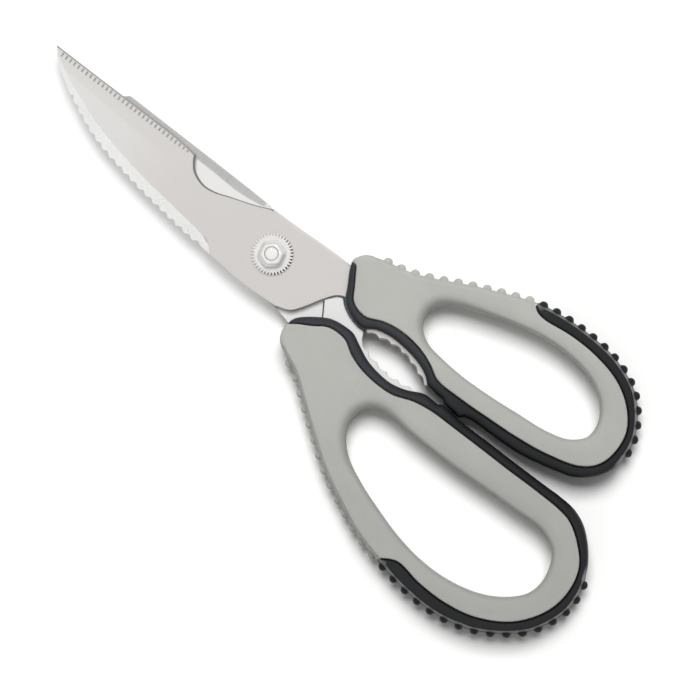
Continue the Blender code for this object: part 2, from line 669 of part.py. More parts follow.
def pivot_hardware():
    """Make the bolt, its rear washer, the toothed lock washer and the domed nut."""
    rear_washer_high = REAR_LOW - FIT
    rear_washer_low = rear_washer_high - REAR_WASHER_THICKNESS
    head_high = rear_washer_low - FIT
    head_low = head_high - BOLT_HEAD_HEIGHT
    lock_low = FRONT_HIGH + FIT
    lock_high = lock_low + LOCK_WASHER_THICKNESS
    nut_low = lock_high + FIT
    nut_high = nut_low + NUT_HEIGHT
    bolt_top = nut_high + BOLT_PROUD
    bore = circle(BOLT_RADIUS + FIT)

    head = dome(BOLT_HEAD_FACE, BOLT_HEAD_RADIUS, head_low, head_high - BOLT_HEAD_WALL)
    bolt = turned("pivot_bolt", [
        (0.0, bolt_top), (BOLT_RADIUS - BOLT_CHAMFER, bolt_top),
        (BOLT_RADIUS, bolt_top - BOLT_CHAMFER), (BOLT_RADIUS, head_high),
        (BOLT_HEAD_RADIUS, head_high), *reversed(head), (0.0, head_low)])
    reach, half_slot = BOLT_HEAD_RADIUS + FIT, SLOT_WIDTH / 2
    slot_plan = [Vector((x, y)) for x, y in ((-reach, -half_slot), (reach, -half_slot),
                                             (reach, half_slot), (-reach, half_slot))]
    slot = slab("bolt_slot", [slot_plan], head_low - FIT, head_low + SLOT_DEPTH)
    boolean(bolt, slot, "DIFFERENCE")
    placed(bolt, THUMB_HALF, BRIGHT_STEEL)

    washer = slab("rear_washer", [circle(REAR_WASHER_RADIUS), bore], rear_washer_low,
                  rear_washer_high)
    placed(washer, THUMB_HALF, BRIGHT_STEEL)
    teeth = toothed_circle(LOCK_WASHER_RADIUS, LOCK_WASHER_TOOTH, LOCK_WASHER_TEETH)
    placed(slab("toothed_lock_washer", [teeth, bore], lock_low, lock_high), THUMB_HALF,
           BRIGHT_STEEL)

    corner = NUT_FLATS / math.sqrt(3)
    turns = [NUT_TURN + math.tau * i / 6 for i in range(6)]
    hexagon = [Vector((corner * math.cos(turn), corner * math.sin(turn))) for turn in turns]
    nut = slab("pivot_nut", [hexagon, bore], nut_low, nut_high + FIT)
    crown = dome(NUT_FACE, corner + FIT, nut_high, nut_low + NUT_WALL)
    boolean(nut, turned("nut_dome", [(0.0, nut_high), *crown, (corner + FIT, nut_low - FIT),
                                     (0.0, nut_low - FIT)]), "INTERSECT")
    placed(nut, THUMB_HALF, BRIGHT_STEEL)


def stand_on_origin():
    """Move the pivot so that the middle of the part's footprint is at the origin."""
    bpy.context.view_layer.update()
    graph = bpy.context.evaluated_depsgraph_get()
    footprint = []
    for item in PARTS.objects:
        if item.type == "MESH":
            seen = item.evaluated_get(graph)
            footprint += [seen.matrix_world @ vertex.co for vertex in seen.data.vertices]
    for axis in (0, 1):
        places = [point[axis] for point in footprint]
        PIVOT.location[axis] = -(min(places) + max(places)) / 2
    bpy.context.view_layer.update()


def empty(name, parent=None):
    """Return an empty on the pivot axis, under a parent."""
    item = bpy.data.objects.new(name, None)
    item.parent = parent
    item.empty_display_size = AXIS_SHOWN
    PARTS.objects.link(item)
    return item


for old in list(bpy.data.objects):
    bpy.data.objects.remove(old)

PARTS = collection("fish_and_game_shears")
CUTTERS = collection("cutters")
PIVOT = empty("pivot_axis")
FINGER_HALF = empty("finger_half", PIVOT)
THUMB_HALF = empty("thumb_half", PIVOT)
STEEL = material("brushed_blade_steel", (0.62, 0.60, 0.58), 0.32, 1.0)
BRIGHT_STEEL = material("polished_steel", (0.75, 0.74, 0.72), 0.18, 1.0)
DARK_PLASTIC = material("blue_black_plastic", (0.035, 0.042, 0.05), 0.38)
SOFT_GREY = material("warm_grey_rubber", (0.45, 0.45, 0.41), 0.6)

front_blade()
rear_blade()
pivot_hardware()
thumb_handle()
finger_handle()
stand_on_origin()
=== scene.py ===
"""The looks of a pair of fish and game shears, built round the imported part.

Plans are drawn in millimetres from the pivot, blades toward -X, thumb loop toward +Y, and heights
upward from the floor. Each solid starts as a filled outline and grows ring by ring with the
extrude operator. A ring gives every point of the outline, its station, a new place.
"""

import json
import logging
import math
from collections.abc import Callable, Sequence
from dataclasses import dataclass, field
from enum import Enum, IntEnum
from functools import cached_property

import bmesh
import bpy
import numpy as np
from mathutils import Matrix, Vector


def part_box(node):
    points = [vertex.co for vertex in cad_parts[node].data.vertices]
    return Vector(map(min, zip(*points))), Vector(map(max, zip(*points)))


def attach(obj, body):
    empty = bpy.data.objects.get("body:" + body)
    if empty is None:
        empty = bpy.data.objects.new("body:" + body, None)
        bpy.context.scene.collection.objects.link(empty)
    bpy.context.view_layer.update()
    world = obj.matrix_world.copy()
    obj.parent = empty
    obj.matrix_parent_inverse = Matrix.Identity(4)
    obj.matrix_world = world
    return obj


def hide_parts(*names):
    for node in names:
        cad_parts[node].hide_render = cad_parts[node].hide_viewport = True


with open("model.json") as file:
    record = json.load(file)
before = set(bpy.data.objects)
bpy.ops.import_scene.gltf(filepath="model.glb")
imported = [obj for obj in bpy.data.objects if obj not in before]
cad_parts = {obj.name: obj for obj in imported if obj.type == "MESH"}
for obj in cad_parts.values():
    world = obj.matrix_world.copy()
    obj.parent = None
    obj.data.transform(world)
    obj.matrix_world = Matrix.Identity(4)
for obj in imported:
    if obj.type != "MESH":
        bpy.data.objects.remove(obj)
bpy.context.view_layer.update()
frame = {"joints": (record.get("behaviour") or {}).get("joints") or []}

MM = 0.001                  # a millimetre in metres
SPAN_STEPS = 12             # points on each span of a spline
FINE_STEPS = 150            # the same where straight steps would show
SAME_PLACE = 1e-3           # points nearer than this, in millimetres, are one
FAR = 99.0                  # farther, in millimetres, than anything on the drawing
TINY = 1e-9                 # the least length that a vector is divided by
PARALLEL = 1e-12            # the least turn between two lines that cross
LEAST_LEAN = 0.5            # keeps the way out of a sharp corner under twice its length
KEPT_DEPTH = 0.97           # the share of its depth that a point keeps in an inset
KEPT_BEND = 0.01            # the bend left in an evened run, so that no face loses its area
AHEAD = 0.8                 # cosine of the widest way that counts as ahead
NEIGHBOUR = 0.3             # points nearer than this, in millimetres, belong to the same wall
WELD = 1e-7                 # metres within which points of a mesh are joined
SLIVER = 1e-6               # metres under which an edge is dissolved
LEVEL_FACE = 0.99999        # faces whose normal rises more than this are shaded flat
BLADE_SHARP = 24            # the least angle of a sharp edge on steel, in degrees
SOFT_SHARP = 50             # the same on plastic
# the grooves' finish is a darker colour that paints shade into them
GROOVE_FINISH = 2           # the number of the finish that the grooves of both blades get
GROOVE_RADIUS = 0.6         # the radius of a groove's rod for each unit of its width
GROOVE_SIDES = 14           # the sides of that rod
NOISE_MIDDLE = (0.3, 0.7)   # the reach of noise that is spread over the whole tone
MIX_COLOURS = (6, 7)        # the Mix node's colour inputs
MIX_RESULT = 2              # its colour output
WHITE = (1.0, 1.0, 1.0)
BLACK = (0.0, 0.0, 0.0)

log = logging.getLogger("shears")

Plan = np.ndarray
Span = tuple[float, float]
Points = Sequence[Span]
Triple = tuple[float, float, float]
Colour = Triple
Row = tuple[float, ...]
Mesh = bmesh.types.BMesh


class Body(Enum):
    """The moving bodies of the part."""

    THUMB = "thumb_half"
    FINGER = "finger_half"


class Slot(Enum):
    """The record's material slots."""

    BLADE = "blade_steel"
    BRIGHT = "bright_steel"
    CORE = "dark_core"
    GRIP = "grey_grip"


def node_heights(node: str) -> Span:
    """Return the lowest and highest height of one of the part's solids, in millimetres."""
    low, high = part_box(node)
    return low.z / MM, high.z / MM


@dataclass(frozen=True)
class Levels:
    """Heights of the pieces over the floor, in millimetres."""

    top: float = node_heights("thumb_handle_core")[1]
    plate: float = 2.5
    tang: float = 5.5
    clearance: float = 0.3

    @property
    def mid(self) -> float:
        """Return the height of the plane between the blades."""
        return self.top / 2

    @property
    def front(self) -> Span:
        """Return the lowest and highest height of the front blade's plate."""
        low = self.mid + self.clearance / 2
        return low, low + self.plate

    @property
    def rear(self) -> Span:
        """Return the lowest and highest height of the rear blade's plate."""
        high = self.mid - self.clearance / 2
        return high - self.plate, high

    @property
    def tangs(self) -> Span:
        """Return the lowest and highest height of both tangs."""
        return self.mid - self.tang / 2, self.mid + self.tang / 2


LEVELS = Levels()
PIVOT = Vector(frame["joints"][0]["pos_m"])


def in_frame(place: Sequence[float]) -> Vector:
    """Turn a place on the drawing into a place in the frame.

    Args:
        place: x and y from the pivot and z over the floor, in millimetres.

    Returns:
        The place in metres.
    """
    return Vector((place[0] * MM + PIVOT.x, place[1] * MM + PIVOT.y, place[2] * MM))


def spline(points: Points, closed: bool = False, steps: int = SPAN_STEPS) -> Plan:
    """Draw the centripetal spline through points.

    Args:
        points: the knots.
        closed: whether the spline returns to its first knot.
        steps: how many points each span gets.

    Returns:
        Close points along it, without the first one again when it is closed.
    """
    knots = np.array(points, float)
    if closed:
        ring = np.vstack([knots[-1:], knots, knots[:2]])
    else:
        ring = np.vstack([2 * knots[0] - knots[1], knots, 2 * knots[-1] - knots[-2]])
    t = (np.arange(steps) / steps)[:, None]
    path = []
    for before, start, end, after in zip(ring, ring[1:], ring[2:], ring[3:]):
        lead, span, tail = (math.sqrt(np.linalg.norm(b - a))
                            for a, b in ((before, start), (start, end), (end, after)))
        leave = (start - before) / lead - (end - before) / (lead + span) + (end - start) / span
        arrive = (end - start) / span - (after - start) / (span + tail) + (after - end) / tail
        path.append(start * (2 * t ** 3 - 3 * t ** 2 + 1) + end * (3 * t ** 2 - 2 * t ** 3)
                    + leave * span * (t ** 3 - 2 * t ** 2 + t) + arrive * span * (t ** 3 - t ** 2))
    return np.vstack(path if closed else [*path, knots[-1:]])


def lengths_of(path: Plan) -> np.ndarray:
    """Return the length of a path up to each of its points."""
    return np.concatenate([[0.0], np.cumsum(np.linalg.norm(np.diff(path, axis=0), axis=1))])


def at_lengths(path: Plan, reaches: np.ndarray) -> Plan:
    """Return the points of a path at the given lengths."""
    lengths = lengths_of(path)
    return np.stack([np.interp(reaches, lengths, path[:, axis]) for axis in (0, 1)], axis=1)


def even(path: Plan, spacing: float) -> Plan:
    """Return a path with evenly spaced points, near the given spacing."""
    total = lengths_of(path)[-1]
    return at_lengths(path, np.linspace(0.0, total, max(1, round(total / spacing)) + 1))


def curve(points: Points, spacing: float) -> Plan:
    """Return the spline through points, evenly spaced."""
    return even(spline(points), spacing)


def closed_curve(points: Points, spacing: float) -> Plan:
    """Return the closed spline through points, evenly spaced."""
    path = spline(points, closed=True)
    return even(np.vstack([path, path[:1]]), spacing)[:-1]


def straight(points: Points, spacing: float) -> Plan:
    """Return straight lines through points, with points between them near the spacing."""
    knots = np.array(points, float)
    return np.vstack([*(even(knots[k:k + 2], spacing)[:-1] for k in range(len(knots) - 1)),
                      knots[-1:]])


def gaps_before(loop: Plan) -> np.ndarray:
    """Return how far each point of an outline lies from the one before it."""
    return np.linalg.norm(loop - np.roll(loop, 1, axis=0), axis=1)


def joined(*runs: Plan) -> Plan:
    """Return one closed outline of runs, each place given once."""
    path = np.vstack(runs)
    return path[gaps_before(path) > SAME_PLACE]


def nearest_to(points: Plan, place: Sequence[float]) -> int:
    """Return the number of the point that lies nearest to a place."""
    return int(np.argmin(np.linalg.norm(points - np.asarray(place), axis=1)))


def units(ways: np.ndarray) -> np.ndarray:
    """Return vectors of the same directions and the length 1."""
    return ways / np.linalg.norm(ways, axis=1)[:, None]


def right_of(ways: np.ndarray) -> np.ndarray:
    """Return vectors turned a quarter turn to the right."""
    return np.stack([ways[:, 1], -ways[:, 0]], axis=1)


def signed_area(loop: Plan) -> float:
    """Return the area of an outline, positive when it runs counterclockwise."""
    after = np.roll(loop, -1, axis=0)
    return float(np.sum(loop[:, 0] * after[:, 1] - after[:, 0] * loop[:, 1]) / 2)


def outward(loop: Plan, hole: bool = False) -> Plan:
    """Find the way out of the material at each point of an outline.

    Args:
        loop: the outline.
        hole: whether the material lies outside it.

    Returns:
        A vector for each point, longer at corners so that offset sides stay parallel.
    """
    ahead = units(np.roll(loop, -1, axis=0) - loop)
    sign = 1.0 if (signed_area(loop) > 0) != hole else -1.0
    normal = right_of(ahead + np.roll(ahead, 1, axis=0)) * sign
    normal /= np.maximum(np.linalg.norm(normal, axis=1), TINY)[:, None]
    lean = np.maximum(np.sum(normal * right_of(ahead) * sign, axis=1), LEAST_LEAN)
    return normal / lean[:, None]


def nearest_on(points: Plan, line: Plan, closed: bool = True) -> tuple[np.ndarray, np.ndarray]:
    """Find how far each point lies from a line.

    Args:
        points: the points.
        line: the line.
        closed: whether the line returns to its start.

    Returns:
        The distances, and the number of the nearest point of the line.
    """
    start, chord = line[None, :, :], (np.roll(line, -1, axis=0) - line)[None, :, :]
    if not closed:
        start, chord = start[:, :-1], chord[:, :-1]
    reach = points[:, None, :] - start
    share = np.clip(np.sum(reach * chord, axis=2) / np.sum(chord * chord, axis=2), 0.0, 1.0)
    away = np.linalg.norm(reach - chord * share[:, :, None], axis=2)
    nearest = np.argmin(np.linalg.norm(reach, axis=2), axis=1)
    return np.min(away, axis=1), nearest


def inset(loop: Plan, depth: np.ndarray, hole: bool = False) -> Plan:
    """Move an outline into the material, without crossing itself at tight corners.

    Args:
        loop: the outline.
        depth: how far each point moves.
        hole: whether the material lies outside the outline.

    Returns:
        The moved outline, point for point.
    """
    moved = loop - outward(loop, hole) * depth[:, None]
    good = nearest_on(moved, loop)[0] >= depth * KEPT_DEPTH - 1e-6
    if good.all() or good.sum() < 2:
        return moved
    index = np.arange(len(loop))
    for axis in (0, 1):
        between = np.interp(index, index[good], moved[good, axis], period=len(loop))
        moved[:, axis] = np.where(good, between, between + KEPT_BEND * (loop[:, axis] - between))
    return moved


def widths_of(loops: Sequence[Plan], holes: Sequence[bool]) -> np.ndarray:
    """Measure how wide the material is, seen inward from each point of its outlines.

    Args:
        loops: the outlines.
        holes: for each outline, whether the material lies outside it.

    Returns:
        The widths for each point, evened out along its outline.
    """
    every = np.vstack(loops)
    found = []
    for loop, hole in zip(loops, holes):
        reach = every[None, :, :] - loop[:, None, :]
        distance = np.linalg.norm(reach, axis=2)
        way = -units(outward(loop, hole))
        ahead = np.sum(reach * way[:, None, :], axis=2) > AHEAD * distance
        width = np.min(np.where(ahead & (distance > NEIGHBOUR), distance, FAR), axis=1)
        for choose, span in ((np.min, 4), (np.mean, 6)):
            width = choose([np.roll(width, k) for k in range(-span, span + 1)], axis=0)
        found.append(width)
    return np.concatenate(found)


def crossing(path: Plan, loop: Plan, last: bool) -> tuple[int, int, np.ndarray]:
    """Find where a path crosses a closed outline.

    Args:
        path: the open path.
        loop: the outline.
        last: whether the last crossing is wanted, and not the first.

    Returns:
        The path's step, the outline's step and the place of the crossing.
    """
    across = np.roll(loop, -1, axis=0) - loop
    found = []
    for i, (start, along) in enumerate(zip(path, np.diff(path, axis=0))):
        turn = along[0] * across[:, 1] - along[1] * across[:, 0]
        turn = np.where(np.abs(turn) < PARALLEL, PARALLEL, turn)
        gap = loop - start
        t = (gap[:, 0] * across[:, 1] - gap[:, 1] * across[:, 0]) / turn
        u = (gap[:, 0] * along[1] - gap[:, 1] * along[0]) / turn
        for j in np.flatnonzero((t >= 0) & (t < 1) & (u >= 0) & (u < 1)):
            found.append((i, int(j), start + along * t[j]))
    return found[-1 if last else 0]


def smoothstep(low: float, high: float, value: np.ndarray) -> np.ndarray:
    """Return 0 below low and 1 above high, with a smooth rise between them."""
    t = np.clip((value - low) / (high - low), 0.0, 1.0)
    return t * t * (3 - 2 * t)


def quarter(share: np.ndarray) -> np.ndarray:
    """Return the drop of a quarter circle, 1 at its wall, share 0, and 0 at its top, share 1."""
    return 1.0 - np.sqrt(np.maximum(1.0 - (1.0 - np.clip(share, 0.0, 1.0)) ** 2, 0.0))


def math_operator(operation: str, swapped: bool = False) -> Callable[["Wire", object], "Wire"]:
    """Make an operator of wires.

    Args:
        operation: the Math node's operation.
        swapped: whether the wire is its second value.

    Returns:
        The operator, which adds the node and returns its result.
    """
    def operator(self: "Wire", other: object) -> "Wire":
        """Return the operation's result."""
        pair = (other, self) if swapped else (self, other)
        return self.graph.node("ShaderNodeMath", {"operation": operation}, dict(enumerate(pair)))
    return operator


class Wire:
    """A shader socket whose operators add Math nodes to its tree."""

    def __init__(self, graph: "Graph", socket: bpy.types.NodeSocket) -> None:
        """Wrap a socket of a graph."""
        self.graph, self.socket = graph, socket

    __add__, __radd__ = math_operator("ADD"), math_operator("ADD", swapped=True)
    __sub__, __rsub__ = math_operator("SUBTRACT"), math_operator("SUBTRACT", swapped=True)
    __mul__, __rmul__ = math_operator("MULTIPLY"), math_operator("MULTIPLY", swapped=True)


def weighted(wires: Sequence[Wire], weights: Sequence[float]) -> Wire:
    """Return the sum of wires, each times its weight."""
    first, *others = (wire * weight for wire, weight in zip(wires, weights))
    return sum(others, first)


class Graph:
    """The node tree of a material or a world, round its first shader."""

    def __init__(self, owner: bpy.types.Material | bpy.types.World, shader: str) -> None:
        """Start on a node tree.

        Args:
            owner: the material or world whose tree it is.
            shader: the name of its shader.
        """
        owner.use_nodes = True
        self.owner = owner
        self.tree = owner.node_tree
        self.shader = self.tree.nodes[shader]

    @classmethod
    def of_material(cls, name: str) -> "Graph":
        """Start a new material."""
        return cls(bpy.data.materials.new(name), "Principled BSDF")

    def node(self, kind: str, settings: dict | None = None, sockets: dict | None = None,
             output: int | str = 0) -> Wire:
        """Add a node.

        Args:
            kind: the node's type.
            settings: its properties, set first.
            sockets: values or wires for its inputs, by name or number.
            output: the output that is wanted.

        Returns:
            That output.
        """
        made = self.tree.nodes.new(kind)
        for key, value in (settings or {}).items():
            setattr(made, key, value)
        for key, value in (sockets or {}).items():
            self.feed(made.inputs[key], value)
        return Wire(self, made.outputs[output])

    def feed(self, socket: bpy.types.NodeSocket, value: object) -> None:
        """Give a socket its value.

        Args:
            socket: the socket.
            value: a wire to link to it, or a plain value.
        """
        if isinstance(value, Wire):
            self.tree.links.new(value.socket, socket)
        else:
            socket.default_value = value

    def surface(self, **values: object) -> None:
        """Feed the shader's inputs, named in lower case with underscores."""
        for socket in self.shader.inputs:
            if (key := socket.name.lower().replace(" ", "_")) in values:
                self.feed(socket, values[key])

    def seen(self, *kinds: str) -> Wire:
        """Return 1 for rays of the given kinds, such as Camera, and 0 for others."""
        rays = (self.node("ShaderNodeLightPath", output=f"Is {kind} Ray") for kind in kinds)
        return self.node("ShaderNodeMath", {"operation": "MINIMUM"}, {0: sum(rays, 0.0), 1: 1.0})

    def place(self, stretch: Colour = (1.0, 1.0, 1.0), centre: Colour = (0.0, 0.0, 0.0),
              turn: float = 0.0) -> Wire:
        """Find the place on the piece, in metres.

        Args:
            stretch: how many times longer it gets along X, Y and Z.
            centre: the place that counts as zero.
            turn: how far the axes are turned about Z, in radians.

        Returns:
            The place.
        """
        raw = self.node("ShaderNodeTexCoord", output="Object")
        return self.node("ShaderNodeMapping", {"vector_type": "TEXTURE"},
                         {"Vector": raw, "Location": centre, "Rotation": (0.0, 0.0, turn),
                          "Scale": tuple(1.0 / part for part in stretch)})

    def part(self, place: Wire, axis: str) -> Wire:
        """Return one coordinate of a place."""
        return self.node("ShaderNodeSeparateXYZ", None, {0: place}, axis)

    def along(self, x: float = 0.0, y: float = 0.0, way: float = 0.0, axis: str = "X") -> Wire:
        """Measure how far along a line of the drawing the surface lies, in metres.

        Args:
            x: where the line starts, in millimetres from the pivot.
            y: the same along Y.
            way: its direction, in degrees.
            axis: X for the way along it, Y for the way across it.

        Returns:
            The length.
        """
        start = in_frame((x, y, 0.0))
        return self.part(self.place(centre=(start.x, start.y, 0.0), turn=math.radians(way)), axis)

    def noise(self, place: Wire, scale: float, detail: float = 2.0, rough: float = 0.5) -> Wire:
        """Return soft noise from 0 to 1."""
        return self.node("ShaderNodeTexNoise", {"noise_dimensions": "3D"},
                         {"Vector": place, "Scale": scale, "Detail": detail, "Roughness": rough})

    def ramp(self, value: Wire, low: float, high: float) -> Wire:
        """Return a value cut to 0 below low and to 1 above high."""
        return self.node("ShaderNodeMapRange", {"clamp": True, "interpolation_type": "SMOOTHSTEP"},
                         {"Value": value, "From Min": low, "From Max": high})

    def blend(self, factor: Wire, *colours: Wire | Colour) -> Wire:
        """Mix two colours.

        Args:
            factor: the share of the second, from 0 to 1.
            colours: the two colours.

        Returns:
            The mixed colour.
        """
        first, second = (colour if isinstance(colour, Wire) else (*colour, 1.0)
                         for colour in colours)
        return self.node("ShaderNodeMix", {"data_type": "RGBA"},
                         {"Factor": factor, MIX_COLOURS[0]: first, MIX_COLOURS[1]: second},
                         MIX_RESULT)

    def tones(self, tone: Wire, colour: Colour, contrast: float) -> Wire:
        """Return a colour that a tone from 0 to 1 makes darker or lighter by a share."""
        return self.blend(tone, *(tuple(min(part * (1.0 + swing), 1.0) for part in colour)
                                  for swing in (-contrast, contrast)))

    def bump(self, height: Wire, depth: float) -> Wire:
        """Return the normal of a surface that a height from 0 to 1 raises by a depth in metres."""
        return self.node("ShaderNodeBump", None,
                         {"Height": height, "Distance": depth, "Strength": 1.0})


@dataclass(frozen=True)
class SatinSteel:
    """Sheet steel with fine grinding lines along one way and a faint cloudy tone.

    Its lift is a painted sheen that pales it toward one end of a line, which is given by a place
    and a direction in degrees. A painted facet highlight beside that line gets a share of the
    lift. The mixes are shares of the lines, the clouds and the specks.
    """

    name: str
    colour: Colour
    roughness: float
    turn: float = 0.0
    line_pitch: float = 0.00012
    line_length: float = 0.012
    line_noise: Triple = (1.0, 4.0, 0.6)
    contrast: float = 0.05
    line_depth: float = 0.000004
    metallic: float = 0.8
    roughness_swing: float = 0.16
    # the next six fields set a painted sheen and a painted facet highlight
    lift: float = 0.0
    lift_line: Triple = (-50.0, -1.5, 4.0)
    painted_sheen_run: Span = (0.04, -0.045)
    painted_facet_side: Span = (0.0005, -0.0007)
    painted_facet_run: Span = (0.012, -0.012)
    painted_sheen_mix: Span = (0.6, 0.4)
    clouds: Triple = (55.0, 3.0, 0.55)
    specks: Triple = (1800.0, 2.0, 0.6)
    tone_mix: Triple = (0.5, 0.35, 0.15)
    swing_mix: Span = (0.6, 0.4)
    bump_mix: Span = (0.7, 0.3)

    def material(self) -> bpy.types.Material:
        """Make the finish.

        Returns:
            Its material.
        """
        graph = Graph.of_material(self.name)
        stretch = (1.0 / self.line_length, 1.0 / self.line_pitch, 1.0 / self.line_pitch)
        lines = graph.noise(graph.place(stretch, turn=self.turn), *self.line_noise)
        clouds, specks = (graph.noise(graph.place(), *kind) for kind in (self.clouds, self.specks))
        tone = graph.ramp(weighted((lines, clouds, specks), self.tone_mix), *NOISE_MIDDLE)
        colour = graph.tones(tone, self.colour, self.contrast)
        # painted sheen: paler toward one end of the line, with a painted facet highlight in a
        # strip beside it
        if self.lift:
            along, across = (graph.along(*self.lift_line, axis) for axis in "XY")
            facet = graph.ramp(across, *self.painted_facet_side) * graph.ramp(along, *self.painted_facet_run)
            reach = weighted((graph.ramp(along, *self.painted_sheen_run), facet), self.painted_sheen_mix)
            colour = graph.blend(reach * self.lift, colour, WHITE)
        swing = graph.ramp(weighted((lines, clouds), self.swing_mix), *NOISE_MIDDLE) - 0.5
        graph.surface(base_color=colour, metallic=self.metallic,
                      roughness=self.roughness + self.roughness_swing * swing,
                      normal=graph.bump(weighted((lines, specks), self.bump_mix), self.line_depth))
        return graph.owner


@dataclass(frozen=True)
class TurnedSteel:
    """Polished steel with fine marks in rings about the pivot.

    A painted shade can turn it to another colour along a way, in degrees. The mix is of the
    rings and the clouds.
    """

    name: str
    colour: Colour
    roughness: float
    ring_pitch: float = 0.00016
    ring_depth: float = 0.000004
    ring_detail: float = 3.0
    contrast: float = 0.05
    metallic: float = 0.55
    painted_shade_colour: Colour | None = None
    painted_shade_side: float = 13.5
    painted_shade_span: Span = (-0.004, 0.005)
    clouds: Triple = (260.0, 3.0, 0.6)
    tone_mix: Span = (0.55, 0.45)
    tone_reach: Span = (0.32, 0.68)
    roughness_swing: float = 0.1

    def material(self) -> bpy.types.Material:
        """Make the finish.

        Returns:
            Its material.
        """
        graph = Graph.of_material(self.name)
        place = graph.place(centre=(PIVOT.x, PIVOT.y, 0.0))
        flat = graph.node("ShaderNodeVectorMath", {"operation": "MULTIPLY"},
                          {0: place, 1: (1.0, 1.0, 0.0)})
        reach = graph.node("ShaderNodeVectorMath", {"operation": "LENGTH"}, {0: flat}, "Value")
        rings = graph.node("ShaderNodeTexNoise", {"noise_dimensions": "1D"},
                           {"W": reach, "Scale": 1.0 / self.ring_pitch,
                            "Detail": self.ring_detail})
        clouds = graph.noise(place, *self.clouds)
        tone = graph.ramp(weighted((rings, clouds), self.tone_mix), *self.tone_reach)
        colour = graph.tones(tone, self.colour, self.contrast)
        # painted shade: the colour changes to the shade colour along the way
        if self.painted_shade_colour:
            far = graph.ramp(graph.along(way=self.painted_shade_side), *self.painted_shade_span)
            colour = graph.blend(far, colour, self.painted_shade_colour)
        graph.surface(base_color=colour, metallic=self.metallic,
                      roughness=self.roughness + self.roughness_swing * tone,
                      normal=graph.bump(rings, self.ring_depth))
        return graph.owner


@dataclass(frozen=True)
class MouldedPlastic:
    """Moulded plastic or rubber with a fine grain, faint flow tones and scuffs.

    A painted shade makes it darker along a way, in degrees. The mixes are of the flow, the pores
    and the grain for wear, of the flow and the grain for roughness, and of the grain and the
    pores for the bump.
    """

    name: str
    colour: Colour
    scuffed: Colour
    roughness: float
    grain: float
    grain_depth: float
    specular: float = 0.5
    # painted shade: how much darker it gets, along which way and over which reach
    painted_shade: float = 0.0
    painted_shade_way: float = 0.0
    painted_shade_reach: Span = (0.0, 0.1)
    flow_stretch: Triple = (1.0, 1.6, 1.0)
    flow_turn: float = math.radians(-20)
    flow: Triple = (38.0, 4.0, 0.55)
    flow_reach: Span = (0.38, 0.68)
    grain_noise: Span = (3.0, 0.65)
    pore_noise: Span = (1.0, 0.5)
    pore_share: float = 0.45
    pore_reach: Span = (0.56, 0.7)
    worn_mix: Triple = (0.75, 0.12, 0.13)
    rough_mix: Span = (0.1, 0.06)
    rough_base: float = -0.05
    bump_mix: Span = (0.75, 0.25)

    def material(self) -> bpy.types.Material:
        """Make the finish.

        Returns:
            Its material.
        """
        graph = Graph.of_material(self.name)
        place = graph.place()
        grain = graph.noise(place, 1.0 / self.grain, *self.grain_noise)
        flow = graph.noise(graph.place(self.flow_stretch, turn=self.flow_turn), *self.flow)
        pores = graph.ramp(graph.noise(place, self.pore_share / self.grain, *self.pore_noise),
                           *self.pore_reach)
        worn = weighted((graph.ramp(flow, *self.flow_reach), pores, grain), self.worn_mix)
        # painted shade, darker along the way
        painted_shade = graph.ramp(graph.along(way=self.painted_shade_way), *self.painted_shade_reach) * self.painted_shade
        rough = self.roughness + self.rough_base + weighted((flow, grain), self.rough_mix)
        graph.surface(
            base_color=graph.blend(painted_shade, graph.blend(worn, self.colour, self.scuffed), BLACK),
            roughness=rough, specular_ior_level=self.specular,
            normal=graph.bump(weighted((grain, pores), self.bump_mix), self.grain_depth))
        return graph.owner


class Finish(Enum):
    """The finishes of the shears."""

    # the plate gets a painted sheen, paler toward the tip, and a painted facet highlight beside a
    # line near the tip
    PLATE = SatinSteel("satin_plate", (0.722, 0.7, 0.683), 0.34, line_length=0.006, contrast=0.03,
                       line_depth=0.0000006, roughness_swing=0.08, lift=0.4)
    FACE = SatinSteel("bright_face", (0.73, 0.725, 0.72), 0.3, line_length=0.03, contrast=0.004,
                      line_depth=0.00000002, metallic=0.2, roughness_swing=0.02)
    GROUND = SatinSteel("ground_bevel", (0.935, 0.935, 0.93), 0.34, turn=math.radians(78),
                        line_pitch=0.0004, line_length=0.0009, contrast=0.14, line_depth=0.000002,
                        metallic=0.6)
    BAND = SatinSteel("hatched_band", (0.55, 0.55, 0.54), 0.36, turn=math.radians(88),
                      line_pitch=0.0003, line_length=0.006, contrast=0.14, line_depth=0.00001)
    # the tick finish paints shade into the ticks and onto the cutting edge's bevel; the next one
    # paints near black shade into the shoulder's groove
    TICK = SatinSteel("tick_shade", (0.48, 0.47, 0.46), 0.4)
    LINE = SatinSteel("dark_line", (0.05, 0.048, 0.047), 0.5)
    # painted shade on the notch's and the heel's bevels
    HONED = SatinSteel("honed_bevel", (0.33, 0.32, 0.31), 0.36)
    POLISHED = TurnedSteel("polished_hardware", (0.94, 0.93, 0.915), 0.24, metallic=0.75)
    TOOTHED = TurnedSteel("toothed_ring", (0.80, 0.79, 0.78), 0.28)
    # the tooth gaps are grey with painted shade, nearly black on one side
    GAP = TurnedSteel("tooth_gaps", (0.62, 0.61, 0.60), 0.4, painted_shade_colour=(0.06, 0.06, 0.06))
    # the dark band gets painted shade away from the pivot, the grey grip toward the finger loop's
    # lower end
    DARK = MouldedPlastic("blue_black_plastic", (0.026, 0.028, 0.032), (0.036, 0.039, 0.044),
                          roughness=0.34, grain=0.0005, grain_depth=0.000012, specular=0.3,
                          painted_shade=0.72, painted_shade_reach=(0.05, 0.082))
    SOFT = MouldedPlastic("warm_grey_rubber", (0.405, 0.408, 0.384), (0.440, 0.443, 0.418),
                          roughness=0.62, grain=0.00032, grain_depth=0.00002, specular=0.4,
                          painted_shade=0.16, painted_shade_way=-45.5, painted_shade_reach=(0.015, 0.1))

    @cached_property
    def material(self) -> bpy.types.Material:
        """Return the finish's material, made once."""
        return self.value.material()


